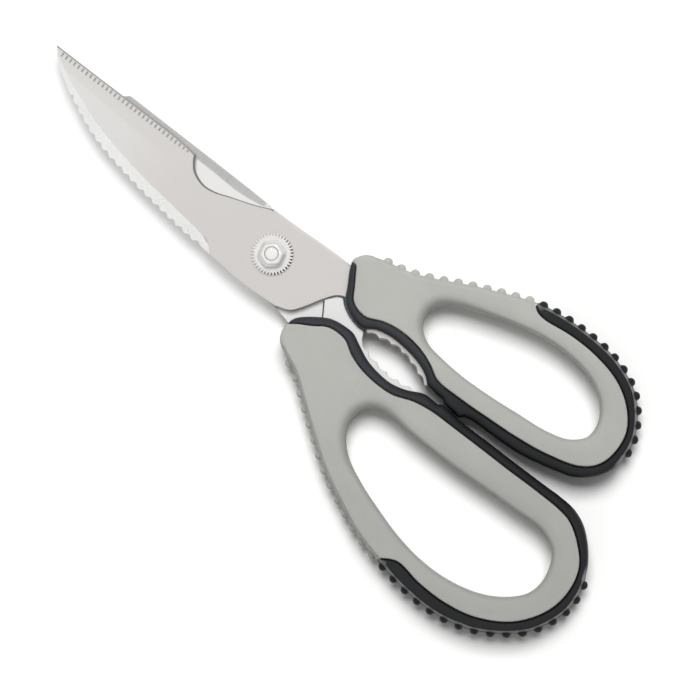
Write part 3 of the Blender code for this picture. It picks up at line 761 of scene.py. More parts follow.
class Loft:
    """A solid grown from filled outlines, one extruded ring at a time."""

    def __init__(self, loops: Sequence[Plan]) -> None:
        """Fill the plan between an outer outline and its holes.

        Args:
            loops: the outer outline, then the holes.
        """
        self.mesh = bmesh.new()
        self.station = self.mesh.verts.layers.int.new("station")
        count = 0
        for loop in loops:
            ring = [self.mesh.verts.new((x * MM, y * MM, 0.0)) for x, y in loop]
            for k, vertex in enumerate(ring):
                vertex[self.station] = count + k
                self.mesh.edges.new((vertex, ring[k - 1]))
            count += len(ring)
        bmesh.ops.triangle_fill(self.mesh, use_beauty=True, use_dissolve=False,
                                edges=self.mesh.edges[:])
        self.cap = self.mesh.faces[:]

    def settle(self, ring: Plan) -> None:
        """Put the cap's points at a ring's places."""
        for vertex in {vertex for face in self.cap for vertex in face.verts}:
            vertex.co = in_frame(ring[vertex[self.station]])

    def grow(self, rings: Sequence[Plan]) -> Mesh:
        """Grow the solid through rings.

        Args:
            rings: for each ring, the x, y and z of every station.

        Returns:
            The closed mesh, its normals pointing outward.
        """
        self.settle(rings[0])
        for ring in rings[1:]:
            region = {part for face in self.cap for part in (face, *face.edges, *face.verts)}
            made = bmesh.ops.extrude_face_region(self.mesh, geom=list(region))
            self.cap = [part for part in made["geom"] if isinstance(part, bmesh.types.BMFace)]
            self.settle(ring)
        bmesh.ops.recalc_face_normals(self.mesh, faces=self.mesh.faces)
        return self.mesh


def level(loops: Sequence[Plan], height: float | np.ndarray) -> Plan:
    """Return the stations of outlines at a height, or at a height for each station."""
    plan = np.vstack(loops)
    return np.column_stack([plan, np.broadcast_to(height, len(plan))])


def placed(mesh: Mesh, name: str, finishes: Sequence[Finish] = ()) -> bpy.types.Object:
    """Put a mesh in the scene as an object, and free it.

    Args:
        mesh: the mesh, in the frame.
        name: the object's name.
        finishes: its finishes, by material number.

    Returns:
        The new object.
    """
    data = bpy.data.meshes.new(name)
    mesh.to_mesh(data)
    mesh.free()
    for finish in finishes:
        data.materials.append(finish.material)
    item = bpy.data.objects.new(name, data)
    bpy.context.scene.collection.objects.link(item)
    return item


def piece(mesh: Mesh, name: str, finishes: Sequence[Finish], body: Body, slot: Slot,
          *nodes: str, sharp: float = 32.0) -> None:
    """Make a finished mesh a piece of the shears.

    Args:
        mesh: the closed mesh, in the frame.
        name: the piece's name.
        finishes: its finishes, by material number.
        body: the body that it rides on.
        slot: the record's slot that its finish comes from; not used.
        nodes: the solids that it stands for.
        sharp: the least angle of a sharp edge, in degrees.
    """
    open_edges = sum(len(edge.link_faces) != 2 for edge in mesh.edges)
    item = placed(mesh, name, finishes)
    faces = item.data.polygons
    item.data.shade_smooth()
    item.data.set_sharp_from_angle(angle=math.radians(sharp))
    for face in faces:
        face.use_smooth = abs(face.normal.z) < LEVEL_FACE
    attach(item, body.value)
    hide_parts(*nodes)
    log.info("%s: %d faces, %d open edges, on %s", name, len(faces), open_edges, body.value)


def combined(mesh: Mesh, finishes: Sequence[Finish], *steps: tuple[str, Mesh]) -> Mesh:
    """Join a mesh with others, or cut them out of it.

    Args:
        mesh: the mesh to start from.
        finishes: the finishes that the material numbers of every mesh stand for.
        steps: each operation, UNION or DIFFERENCE, and the mesh that it takes.

    Returns:
        The resulting mesh.
    """
    items = [placed(part, "work", finishes) for part in (mesh, *(other for _, other in steps))]
    for (operation, _), other in zip(steps, items[1:]):
        step = items[0].modifiers.new(operation, "BOOLEAN")
        step.operation, step.solver, step.object = operation, "EXACT", other
    made = bmesh.new()
    made.from_mesh(items[0].evaluated_get(bpy.context.evaluated_depsgraph_get()).data)
    for item in items:
        data = item.data
        bpy.data.objects.remove(item)
        bpy.data.meshes.remove(data)
    bmesh.ops.remove_doubles(made, verts=made.verts, dist=WELD)
    bmesh.ops.dissolve_degenerate(made, edges=made.edges, dist=SLIVER)
    return made


@dataclass
class Handle:
    """One handle: the dark band and the soft grip, with nodules along the outer wall.

    The last four fields are drawn from the others: the outer wall, for each of its points its
    share of the slope behind the nodules, the nodules' middles, and the rim of the loop.
    """

    prefix: str
    body: Body
    collar: Points
    pad: Points
    back: Points
    hole: Points
    seam: Points
    seam_start: Points
    seam_place: Span
    nodule_ends: tuple[Span, Span]
    nodule_pitch: float
    nodule_radius: float = 1.45
    nodule_reach: float = 1.35
    fine: float = 0.3
    fine_margin: float = 3.0
    coarse: float = 0.7
    end_steps: int = 60
    least_step: float = 0.05
    groove: float = 0.1
    seam_ends: Span = (1.2, 3.0)
    seam_fine: float = 8.0
    band_drop: float = 0.35
    hole_rounds: Span = (3.2, 1.1)
    hole_turn: float = 20.0
    seam_round: float = 0.5
    band_round: float = 0.9
    wall_round: float = 1.4
    bead_round: float = 2.3
    crown: float = 1.1
    crown_width: float = 4.4
    draft_foot: float = 0.5
    draft_width: float = 1.15
    draft_fade: Span = (2.0, 7.0)
    foot_margin: float = 0.25
    edge_shares: Span = (0.36, 0.49)
    rim_share: float = 0.5
    shoulder_drop: float = 0.5
    shoulder_round: float = 0.6
    ring_depths: Row = (0.0, 0.05, 0.15, 0.3, 0.5, 0.75, 1.0, 1.13, 1.18, 1.25, 1.35, 1.5, 1.7,
                        2.0, 2.6, 3.4, 4.4)
    wall_rows: Row = (0.0, 0.28, 0.55, 0.82, 1.07, 1.25, 1.38, 1.46)
    wall: Plan = field(init=False)
    drafted: np.ndarray = field(init=False)
    knobs: Plan = field(init=False)
    rim: Plan = field(init=False)

    def __post_init__(self) -> None:
        """Draw the lines that both pieces share."""
        self.wall, self.drafted = self.silhouette()
        self.knobs = self.nodules()
        self.rim = closed_curve(self.hole, self.coarse)

    def silhouette(self) -> tuple[Plan, np.ndarray]:
        """Draw the handle's outer wall.

        Returns:
            The outline, and for each of its points its share of the sloping wall with nodules.
        """
        back = spline(self.back)
        reach = lengths_of(back)
        first, last = sorted(reach[nearest_to(back, end)] for end in self.nodule_ends)
        low, high = first - self.fine_margin, last + self.fine_margin
        ends = ((0.0, low - self.fine), (high, reach[-1]))
        lead, tail = (even(at_lengths(back, np.linspace(*end, self.end_steps)), self.coarse)
                      for end in ends)
        loop = joined(curve(self.collar, self.coarse), straight(self.pad, self.coarse), lead,
                      at_lengths(back, np.arange(low, high, self.fine)), tail)
        away = np.linalg.norm(loop[:, None] - back[None], axis=2)
        near = reach[np.argmin(away, axis=1)]
        inner, outer = self.draft_fade
        share = (smoothstep(first - outer, first - inner, near)
                 * (1 - smoothstep(last + inner, last + outer, near)))
        return loop, np.where(np.min(away, axis=1) < self.coarse, share, 0.0)

    def nodules(self) -> Plan:
        """Place the nodules along the outer wall.

        Returns:
            Their middles.
        """
        path = np.vstack([self.wall, self.wall[:1]])
        reach = lengths_of(path)
        first, last = sorted(reach[nearest_to(path, end)] for end in self.nodule_ends)
        count = round((last - first) / self.nodule_pitch)
        return at_lengths(path, np.linspace(first, last, count + 1))

    def seam_middle(self) -> int:
        """Return the number of the nodule just before the seam's end on the wall."""
        return nearest_to((self.knobs[1:] + self.knobs[:-1]) / 2, self.seam_place)

    def seam_path(self, side: float) -> Plan:
        """Draw the line between the grip and the band, ending midway between two nodules.

        Args:
            side: how far the line is moved away from the hole.

        Returns:
            The line, which crosses the outer wall at both ends.
        """
        k = self.seam_middle()
        end = (self.knobs[k] + self.knobs[k + 1]) / 2
        out = right_of(units(self.knobs[k + 1:k + 2] - self.knobs[k]))[0]
        centre = np.mean(self.rim, axis=0)
        out *= np.sign(out @ (end - centre))
        inside, beyond = self.seam_ends
        line = np.vstack([self.seam_start, spline([*self.seam, tuple(end - out * inside)]),
                          [end + out * beyond]])
        total = lengths_of(line)[-1]
        turn = total - self.seam_fine
        path = at_lengths(line, np.concatenate([np.arange(0.0, turn, self.coarse),
                                                np.arange(turn, total, self.fine), [total]]))
        normal = right_of(units(np.gradient(path, axis=0)))
        normal *= np.sign(np.sum((path - centre) * normal))
        return path + normal * side

    def regions(self) -> list[tuple[Plan, np.ndarray]]:
        """Part the plan along the seam.

        Returns:
            For the grip and for the band: the outline, and whether each point is on the seam.
        """
        loop, n = self.wall, len(self.wall)
        mark = nearest_to(loop, self.knobs[self.seam_middle() + 1])
        made = []
        for side in (-self.groove, self.groove):
            path = self.seam_path(side)
            i0, j0, first = crossing(path, loop, last=False)
            i1, j1, last = crossing(path, loop, last=True)
            onward = [(j1 + 1 + m) % n for m in range((j0 - j1) % n)]
            back = [(j0 + 1 + m) % n for m in range((j1 - j0) % n)][::-1]
            walk = onward if (mark in onward) == (side < 0) else back
            inner = np.vstack([first, path[i0 + 1:i1 + 1], last])
            outline = np.vstack([inner, loop[walk]])
            seam = np.arange(len(outline)) < len(inner)
            keep = gaps_before(outline) > self.least_step
            made.append((outline[keep], seam[keep]))
        return made

    @property
    def draft_rise(self) -> float:
        """Return the height of the sloping wall behind the nodules."""
        return LEVELS.top - LEVELS.mid - self.shoulder_drop - self.draft_foot

    def draft(self, height: float) -> float:
        """Return how far in the sloping wall lies at a height over the middle."""
        return self.draft_width * max(height - self.draft_foot, 0.0) / self.draft_rise

    def drop(self, plan: Plan, seam: Plan, seam_round: float, wall_round: float) -> np.ndarray:
        """Work out how far the face lies under its top.

        Args:
            plan: the places.
            seam: the line where this piece meets the other.
            seam_round: the radius of its edge there.
            wall_round: the radius of its edge along the plain outer wall.

        Returns:
            The drop in millimetres.
        """
        depth, nearest = nearest_on(plan, self.wall)
        drafted = self.drafted[nearest]
        plain = wall_round * quarter(depth / wall_round)
        shoulder = quarter((depth - self.draft_width) / self.shoulder_round)
        slope = self.draft_rise * np.maximum(1.0 - depth / self.draft_width, 0.0)
        inside, nearest = nearest_on(plan, self.rim)
        start, end = self.hole_rounds
        first = np.min(self.rim[:, 0])
        rounding = start + (end - start) * smoothstep(first, first + self.hole_turn,
                                                      self.rim[nearest, 0])
        edge = seam_round * quarter(nearest_on(plan, seam, closed=False)[0] / seam_round)
        crown = self.crown * np.maximum(1.0 - inside / self.crown_width, 0.0) ** 2
        return (plain * (1 - drafted) + (slope + self.shoulder_drop * shoulder) * drafted
                + rounding * quarter(inside / rounding) + crown + edge)

    def solid(self, loops: Sequence[Plan], seam: np.ndarray, top: float, seam_round: float,
              wall_round: float) -> Mesh:
        """Grow one piece of the handle between its two faces.

        Args:
            loops: the outer outline, then the hole if it has one.
            seam: whether each point of the outer outline is on the seam.
            top: the height of the face.
            seam_round: the radius of the edge along the seam.
            wall_round: the radius of the edge along the plain outer wall.

        Returns:
            The closed mesh.
        """
        holes = [False, True][:len(loops)]
        plan = np.vstack(loops)
        rest = len(plan) - len(seam)
        inner = np.concatenate([seam, np.zeros(rest, bool)])
        share = np.concatenate([np.where(seam, *self.edge_shares), np.full(rest, self.rim_share)])
        away, nearest = nearest_on(plan, self.wall)
        drafted = np.where(inner | (away > self.fine), 0.0, self.drafted[nearest])
        foot = drafted * self.draft(self.wall_rows[-1] + self.foot_margin)
        deepest = self.ring_depths[-1]
        squeeze = (np.minimum(deepest, widths_of(loops, holes) * share) - foot) / deepest
        faces = []
        for reach in self.ring_depths:
            parts = np.split(foot + reach * squeeze, [len(loops[0])])
            moved = [inset(*each) for each in zip(loops, parts, holes)]
            drop = self.drop(np.vstack(moved), loops[0][seam], seam_round, wall_round)
            faces.append((level(moved, top - drop), level(moved, 2 * LEVELS.mid - top + drop)))
        out = np.vstack([outward(loop, hole) for loop, hole in zip(loops, holes)])
        gap = np.min(np.linalg.norm(plan[:, None] - self.knobs[None], axis=2), axis=1)
        wall = []
        for row in sorted({sign * row for row in self.wall_rows for sign in (-1, 1)}):
            ball = 1.0 - (gap ** 2 + row ** 2) / self.nodule_radius ** 2
            bulge = np.where(inner | (ball <= 0), -drafted * self.draft(abs(row)),
                             self.nodule_reach * np.sqrt(np.maximum(ball, 0.0)))
            wall.append(level([plan + out * bulge[:, None]], LEVELS.mid + row))
        rings = [low for _, low in reversed(faces)] + wall + [high for high, _ in faces]
        return Loft(loops).grow(rings)

    def build(self) -> None:
        """Make the grip and the band."""
        kinds = (("soft_grip", Finish.SOFT, Slot.GRIP, "grip", [self.rim], 0.0, self.seam_round,
                  self.wall_round),
                 ("dark_band", Finish.DARK, Slot.CORE, "core", [], self.band_drop, self.band_round,
                  self.bead_round))
        for (outline, seam), (name, finish, slot, node, hole, drop, *rounds) in zip(self.regions(),
                                                                                    kinds):
            mesh = self.solid([outline, *hole], seam, LEVELS.top - drop, *rounds)
            piece(mesh, f"{self.prefix}_{name}", [finish], self.body, slot,
                  f"{self.prefix}_handle_{node}", sharp=SOFT_SHARP)


def groove_cutter(mesh: Mesh, start: np.ndarray, end: np.ndarray, width: float,
                  height: float) -> None:
    """Add a rod that cuts a shallow round groove into a face.

    Args:
        mesh: the mesh that takes the rod.
        start: where the groove starts on the plan.
        end: where it ends.
        width: its width.
        height: the height of the face.
    """
    radius = width * GROOVE_RADIUS
    lift = math.sqrt(radius ** 2 - (width / 2) ** 2)
    way = Vector((*(end - start), 0.0))
    made = bmesh.ops.create_cone(mesh, cap_ends=True, segments=GROOVE_SIDES,
                                 depth=way.length * MM, radius1=radius * MM, radius2=radius * MM)
    turn = way.to_track_quat("Z", "Y").to_matrix().to_4x4()
    middle = in_frame((*((start + end) / 2), height + lift))
    bmesh.ops.transform(mesh, matrix=Matrix.Translation(middle) @ turn, verts=made["verts"])
    # the rod's faces become the groove's faces, which get a darker finish that paints shade into
    # the groove
    for face in mesh.faces:
        face.material_index = GROOVE_FINISH


@dataclass
class Blade:
    """What both blades share: a plate with ground edges, and a thick tang with a cracker jaw."""

    hole_radius: float = 2.5
    hole_steps: int = 48
    hidden: float = 2.0
    coarse: float = 1.4
    medium: float = 0.8
    close: float = 0.6
    tooth_pitch: float = 4.2
    tooth_depth: float = 0.8
    tooth_steps: int = 10
    tang_break: float = 0.25

    def jaw(self, tips: Points, away: float) -> Plan:
        """Draw a run of pointed cracker teeth.

        Args:
            tips: the line that the tips touch.
            away: +1 or -1, the side on which the hollows lie.

        Returns:
            The run.
        """
        line = spline(tips)
        total = lengths_of(line)[-1]
        count = max(round(total / self.tooth_pitch), 1) * self.tooth_steps
        path = at_lengths(line, np.linspace(0.0, total, count + 1))
        wave = np.abs(np.sin(math.pi * np.arange(count + 1) / self.tooth_steps))
        path[:, 1] += away * (wave * self.tooth_depth)
        return path

    def tang(self, *runs: Plan) -> Mesh:
        """Make the solid of a tang, its edges broken.

        Args:
            runs: the runs of its outline.

        Returns:
            The closed mesh.
        """
        outline = joined(*runs)
        low, high = LEVELS.tangs
        small = inset(outline, np.full(len(outline), self.tang_break))
        rings = [level([small], low), level([outline], low + self.tang_break),
                 level([outline], high - self.tang_break), level([small], high)]
        return Loft([outline]).grow(rings)

    def bore(self) -> Plan:
        """Return the outline of the bolt hole."""
        turns = np.linspace(0.0, math.tau, self.hole_steps, endpoint=False)
        return np.stack([np.cos(turns), np.sin(turns)], axis=1) * self.hole_radius

    @staticmethod
    def outline(*runs: Plan) -> tuple[Plan, np.ndarray]:
        """Return the outline of runs that meet, and for each point the number of its run."""
        return (np.vstack([run[:-1] for run in runs]),
                np.concatenate([np.full(len(run) - 1, k) for k, run in enumerate(runs)]))


class FrontRun(IntEnum):
    """The runs of the front blade's outline, in their order."""

    EDGE, NOTCH, SPINE, ROOT, HEEL, BELLY, SCALER_HEEL, SCALLOPS, NOSE = range(9)


@dataclass
class FrontBlade(Blade):
    """The front blade: bone notch, scaling edge, ticked cutting edge and the thumb tang."""

    edge: Points = ((-95.1, -0.45), (-80, 1.35), (-60, 3.8), (-48, 5.2), (-39.3, 5.6))
    notch: Points = ((-39.3, 5.6), (-37.5, 3.4), (-35.4, 1.7), (-31, 0.6), (-27, 1.4), (-22, 3.8),
                     (-15, 7.2), (-9.5, 10.5))
    spine: Points = ((-9.5, 10.5), (0, 11.85), (10, 13.5), (19.5, 14.75))
    root: Points = ((19.5, 14.75), (27, 14.6), (33, 13), (33, 7), (29, 7.2), (26.4, 7.1))
    heel: Points = ((25.4, 6.3), (23.5, 4.9), (21.3, 1.1), (18.5, -5.2), (16.4, -8.6), (12, -10.9))
    belly: Points = ((12, -10.9), (0, -13), (-10, -13.65), (-14.2, -13.8))
    scaler_heel: Points = ((-14.2, -13.8), (-15.4, -13.83), (-16.8, -13.86), (-18.5, -13.9))
    crest: Points = ((-18.5, -13.9), (-22, -14.5), (-30, -14.75), (-45, -14.75), (-55, -14.3),
                     (-62, -13.75), (-70, -12.3), (-77, -10.2), (-81, -8.7))
    nose: Points = ((-81, -8.7), (-86, -6.5), (-90, -4.4), (-92.5, -2.9), (-95.1, -0.45))
    grind: Points = ((-94.3, -0.95), (-93.6, -1.5), (-92.5, -2.3), (-90, -3.3), (-86, -4.7),
                     (-70, -8.8), (-60, -10.1), (-50, -10.8), (-20, -10.9), (-18.5, -11.1),
                     (-16.8, -11.8), (-15.4, -12.7), (-14.2, -13.75))
    tang_back: Points = ((28.2, 7.3), (29, 12), (33, 14.6), (39, 13.8), (45, 12), (52, 11),
                         (60, 10.1), (66, 8.6), (70.6, 8.2))
    tang_end: Points = ((70.6, 8.2), (71.6, 7.4), (70.8, 6.6), (66, 6.3), (64.6, 5.6), (63.8, 4.5))
    jaw_tips: Points = ((62.8, 3.95), (59.3, 4.95), (54.8, 5.95), (50.4, 6.3), (46.6, 5.8),
                        (42.8, 4.6), (38.6, 3.15))
    tang_front: Points = ((37.6, 3.6), (36.2, 4.6), (33, 4.9), (30, 5.8), (28.2, 7.3))
    scallop_start: float = -19.9
    scallop_pitch: float = 3.36
    scallop_depth: float = 0.78
    scallop_steps: int = 12
    edge_bevel: Span = (0.45, 0.38)
    notch_bevel: Span = (0.75, 0.55)
    spine_bevel: Span = (1.0, 0.2)
    plain_bevel: Span = (0.18, 0.18)
    bevel_passes: int = 2
    bevel_rings: Row = (0.0, 0.12, 0.3, 0.55, 0.8, 0.95, 1.0)
    wall_margin: float = 0.1
    face_margin: float = 1e-4
    scaler_slope: float = 0.26
    scaler_step: float = 0.14
    flute_depth: float = 0.04
    flute_fade: float = 1.5
    full_reach: Span = (2.0, 2.5)
    tip_squeeze: float = 0.3
    notch_taper: Triple = (-37.0, -20.0, 0.4)
    # the finish of each run's bevel: painted shade on the cutting edge, the notch and the heel,
    # the ground finish on the scaling edge
    bevel_finish: tuple[int, ...] = (2, 3, 0, 0, 3, 0, 1, 1, 1)
    tick_start: float = -91.8
    tick_pitch: float = 1.607
    tick_count: int = 32
    tick_fade: int = 3
    tick_inset: float = 0.62
    tick_length: float = 1.35
    tick_width: float = 0.58
    tick_slant: float = math.radians(9)

    def scallops(self) -> tuple[Plan, np.ndarray]:
        """Draw the scalloped part of the scaling edge, round bites between round crests.

        Returns:
            The run, and for each point how deep it lies in its bite, from 0 to 1.
        """
        crest = spline(self.crest)[::-1]
        step = self.scallop_pitch / self.scallop_steps
        x = np.arange(self.scallop_start, self.crest[-1][0], -step)
        wave = 0.5 + 0.5 * np.cos(math.tau * (self.scallop_start - x) / self.scallop_pitch)
        y = np.interp(x, crest[:, 0], crest[:, 1]) + self.scallop_depth * wave
        return np.stack([x, y], axis=1), wave

    def ground_rim(self, outline: Plan) -> Plan:
        """Find where the scaling face meets the plate's face.

        Args:
            outline: points of the scaling edge.

        Returns:
            The place for each of them.
        """
        line = spline(self.grind, steps=FINE_STEPS)
        near_tip = self.grind[1][0]
        x = outline[:, 0]
        x = np.where(x < near_tip, near_tip + self.tip_squeeze * (x - near_tip), x)
        return np.stack([x, np.maximum(np.interp(x, *line.T), outline[:, 1])], axis=1)

    def plate(self) -> Mesh:
        """Make the solid of the plate, with its bevels and the fluted scaling face.

        Returns:
            The closed mesh.
        """
        scallops, wave = self.scallops()
        outline, kind = self.outline(
            curve(self.edge, self.coarse), curve(self.notch, self.close),
            curve(self.spine, self.coarse), straight(self.root, self.hidden),
            curve(self.heel, self.medium), curve(self.belly, self.coarse),
            straight(self.scaler_heel, self.close), scallops, curve(self.nose, self.close))
        bevels = [self.edge_bevel, self.notch_bevel, self.spine_bevel,
                  *[self.plain_bevel] * 3, *[(0.0, 0.0)] * 3]
        ground = kind >= FrontRun.SCALER_HEEL
        start, end, least = self.notch_taper
        taper = np.where(kind == FrontRun.NOTCH,
                         np.interp(outline[:, 0], [start, end], [1.0, least]), 1.0)
        width, depth = np.array(bevels)[kind].T * taper
        valley = np.zeros(len(outline))
        valley[kind == FrontRun.SCALLOPS] = wave[:-1]
        for _ in range(self.bevel_passes):
            width, depth = (
                np.where(ground, part, (np.roll(part, 1) + part + np.roll(part, -1)) / 3)
                for part in (width, depth))
        rim = inset(outline, width)
        rim[ground] = self.ground_rim(outline[ground])
        reach = np.where(ground, np.linalg.norm(rim - outline, axis=1), 0.0)
        depth = np.where(ground, self.scaler_slope * reach, depth)
        step_reach, flute_reach = self.full_reach
        step = self.scaler_step * np.minimum(reach / step_reach, 1.0)
        flute = self.flute_depth * valley * np.minimum(reach / flute_reach, 1.0)
        low, high = LEVELS.front
        bore = self.bore()
        rings = [level([outline, bore], low)]
        for share in self.bevel_rings:
            drop = (depth * (1 - share) + flute * (1 - share) ** self.flute_fade
                    + step * (share < 1.0))
            rings.append(level([outline + (rim - outline) * share, bore],
                               high - np.concatenate([drop, np.zeros(len(bore))])))
        loft = Loft([outline, bore])
        mesh = loft.grow(rings)
        stations = np.concatenate([kind, np.full(len(bore), FrontRun.BELLY)])
        # bevel faces take their run's finish, some of it painted shade
        for face in mesh.faces:
            lowest = min(vertex.co.z for vertex in face.verts) / MM
            if low + self.wall_margin < lowest < high - self.face_margin:
                run = min(stations[vertex[loft.station]] for vertex in face.verts)
                face.material_index = self.bevel_finish[run]
        return mesh

    def ticks(self) -> Mesh:
        """Make the cutters of the short grooves along the cutting edge, the last ones shorter.

        Returns:
            All of them, as one mesh.
        """
        mesh = bmesh.new()
        line = spline(self.edge)
        way = np.array([math.sin(self.tick_slant), -math.cos(self.tick_slant)])
        for k in range(self.tick_count):
            x = self.tick_start + k * self.tick_pitch
            start = np.array([x, np.interp(x, *line.T) - self.tick_inset])
            late = max(0, k - self.tick_count + self.tick_fade + 1) / self.tick_fade
            length = self.tick_length * (1.0 - late / 2)
            groove_cutter(mesh, start, start + way * length, self.tick_width, LEVELS.front[1])
        return mesh

    def build(self) -> None:
        """Make the blade."""
        tang = self.tang(curve(self.tang_back, self.coarse), straight(self.tang_end, self.coarse),
                         self.jaw(self.jaw_tips, 1.0), straight(self.tang_front, self.coarse))
        finishes = [Finish.PLATE, Finish.GROUND, Finish.TICK, Finish.HONED]
        mesh = combined(self.plate(), finishes, ("DIFFERENCE", self.ticks()), ("UNION", tang))
        piece(mesh, "front_blade_steel", finishes, Body.THUMB, Slot.BLADE, "front_blade",
              sharp=BLADE_SHARP)


class RearRun(IntEnum):
    """The runs of the rear blade's outline, in their order."""

    TIP, SPINE, TOP, ROOT, BELLY, EDGE = range(6)


@dataclass
class RearBlade(Blade):
    """The rear blade: a hatched band along its spine, and the finger tang."""

    tip_spine: Points = ((-94.2, -1.25), (-80, 0.8), (-69.8, 2.1))
    spine: Points = ((-69.8, 2.1), (-67.6, 4.45), (-40, 7.6), (-20, 9.8), (-11.4, 10.6))
    top: Points = ((-11.4, 10.6), (-9.6, 9.9), (0, 10.2), (10, 10), (18, 8.6), (22.5, 6.3),
                   (27, 4))
    root: Points = ((27, 4), (31, 2), (33, -3), (31, -9), (24, -11.4), (19, -11.9))
    belly: Points = ((19, -11.9), (12, -11.3), (4, -12), (-5, -11.9), (-12, -9.9), (-16, -8.4))
    edge: Points = ((-16, -8.4), (-35, -8.2), (-55, -7.2), (-75, -5), (-90, -2.4), (-94.2, -1.25))
    band_line: Points = ((-69.8, 1.6), (-60, 2.6), (-37, 5.2), (-30, 5.9), (-25, 6.3), (-20, 7.1),
                         (-15, 8.4), (-11.4, 9.75))
    shoulder: Points = ((25.3, -3), (21.8, 1.25))
    tang_top: Points = ((21.8, 1.25), (22.9, 3.1), (24, 4.6), (25.5, 5.6), (27, 4.7), (29, 3.7),
                        (32, 2.85), (35, 2.55), (37.4, 2.75), (37.9, 2.2))
    jaw_tips: Points = ((38.8, 0.85), (43.2, -0.65), (47.5, -1.1), (51.8, -1.25), (56, -0.5),
                        (60, 0.65), (63.9, 2.2))
    tang_end: Points = ((64.9, 1.3), (66.5, 0.4), (70.6, 0.5), (71.6, -0.4), (70.6, -1.6))
    tang_back: Points = ((70.6, -1.6), (65, -3.4), (58, -5.8), (52, -8), (45, -11), (38, -12.4),
                         (32, -12.6), (28, -11.2), (26.8, -5.4), (25.3, -3))
    grind: float = 2.6
    grind_runout: float = 4.0
    grind_tip: float = -91.0
    grind_gap: float = 0.3
    edge_break: float = 0.15
    edge_drop: float = 0.1
    least_band: float = 0.05
    shoulder_line: float = 0.62
    shoulder_gap: Span = (0.23, 0.19)
    hollow: float = 0.12
    hollow_inset: float = 0.5
    hollow_wall: float = 0.25
    face_margin: float = 0.05
    hollow_margin: float = 0.01
    under_lean: float = -0.3
    face_finish: int = 1
    band_finish: int = 3

    def plate(self) -> Mesh:
        """Make the solid of the plate, ground below its edge and banded along its spine.

        Returns:
            The closed mesh.
        """
        outline, kind = self.outline(
            curve(self.tip_spine, self.coarse), straight(self.spine, self.coarse),
            curve(self.top, self.medium), straight(self.root, self.hidden),
            curve(self.belly, self.coarse), curve(self.edge, self.coarse))
        edge, banded = kind == RearRun.EDGE, kind == RearRun.SPINE
        tip_line, band_line = spline(self.tip_spine).T, spline(self.band_line).T
        x, y = outline.T
        under = outline.copy()
        ground_x = np.maximum(x, self.grind_tip)
        lift = self.grind * np.clip((self.edge[0][0] - x) / self.grind_runout, 0.0, 1.0)
        ceiling = np.interp(ground_x, *tip_line, right=FAR) - self.grind_gap
        under[edge] = np.stack([ground_x, np.minimum(y + lift, ceiling)], axis=1)[edge]
        under[(kind == RearRun.TIP) & (x < self.grind_tip)] = (
            self.grind_tip, np.interp(self.grind_tip, *tip_line))
        body = inset(outline, np.full(len(outline), self.edge_break))
        band = body.copy()
        inner = np.minimum(np.interp(x, *band_line), body[:, 1] - self.least_band)
        band[banded, 1] = inner[banded]
        floor = inset(outline, np.full(len(outline), self.hollow_inset))
        floor[banded] = band[banded] - np.array([0.0, self.hollow_wall])
        low, high = LEVELS.rear
        bore = self.bore()
        rings = [level([plan, bore], height) for plan, height in (
            (under, low), (outline, high - self.edge_drop), (body, high), (band, high),
            (floor, high - self.hollow))]
        loft = Loft([outline, bore])
        mesh = loft.grow(rings)
        stations = np.concatenate([kind, np.full(len(bore), RearRun.BELLY)])
        for face in mesh.faces:
            runs = {int(stations[vertex[loft.station]]) for vertex in face.verts}
            lowest = min(vertex.co.z for vertex in face.verts) / MM
            if runs == {RearRun.SPINE} and lowest > high - self.face_margin:
                face.material_index = self.band_finish
            elif (face.normal.z < self.under_lean if runs == {RearRun.EDGE}
                  else lowest > high - self.hollow - self.hollow_margin):
                face.material_index = self.face_finish
        return mesh

    def build(self) -> None:
        """Make the blade."""
        tang = self.tang(straight(self.shoulder, self.coarse), curve(self.tang_top, self.close),
                         self.jaw(self.jaw_tips, -1.0), straight(self.tang_end, self.coarse),
                         curve(self.tang_back, self.coarse))
        for face in tang.faces:
            face.material_index = self.face_finish
        # the groove at the shoulder's foot gets near black painted shade
        groove = bmesh.new()
        groove_cutter(groove, *(np.array(self.shoulder) - self.shoulder_gap), self.shoulder_line,
                      LEVELS.rear[1])
        finishes = [Finish.PLATE, Finish.FACE, Finish.LINE, Finish.BAND]
        mesh = combined(self.plate(), finishes, ("DIFFERENCE", groove), ("UNION", tang))
        piece(mesh, "rear_blade_steel", finishes, Body.FINGER, Slot.BLADE, "rear_blade",
              sharp=BLADE_SHARP)


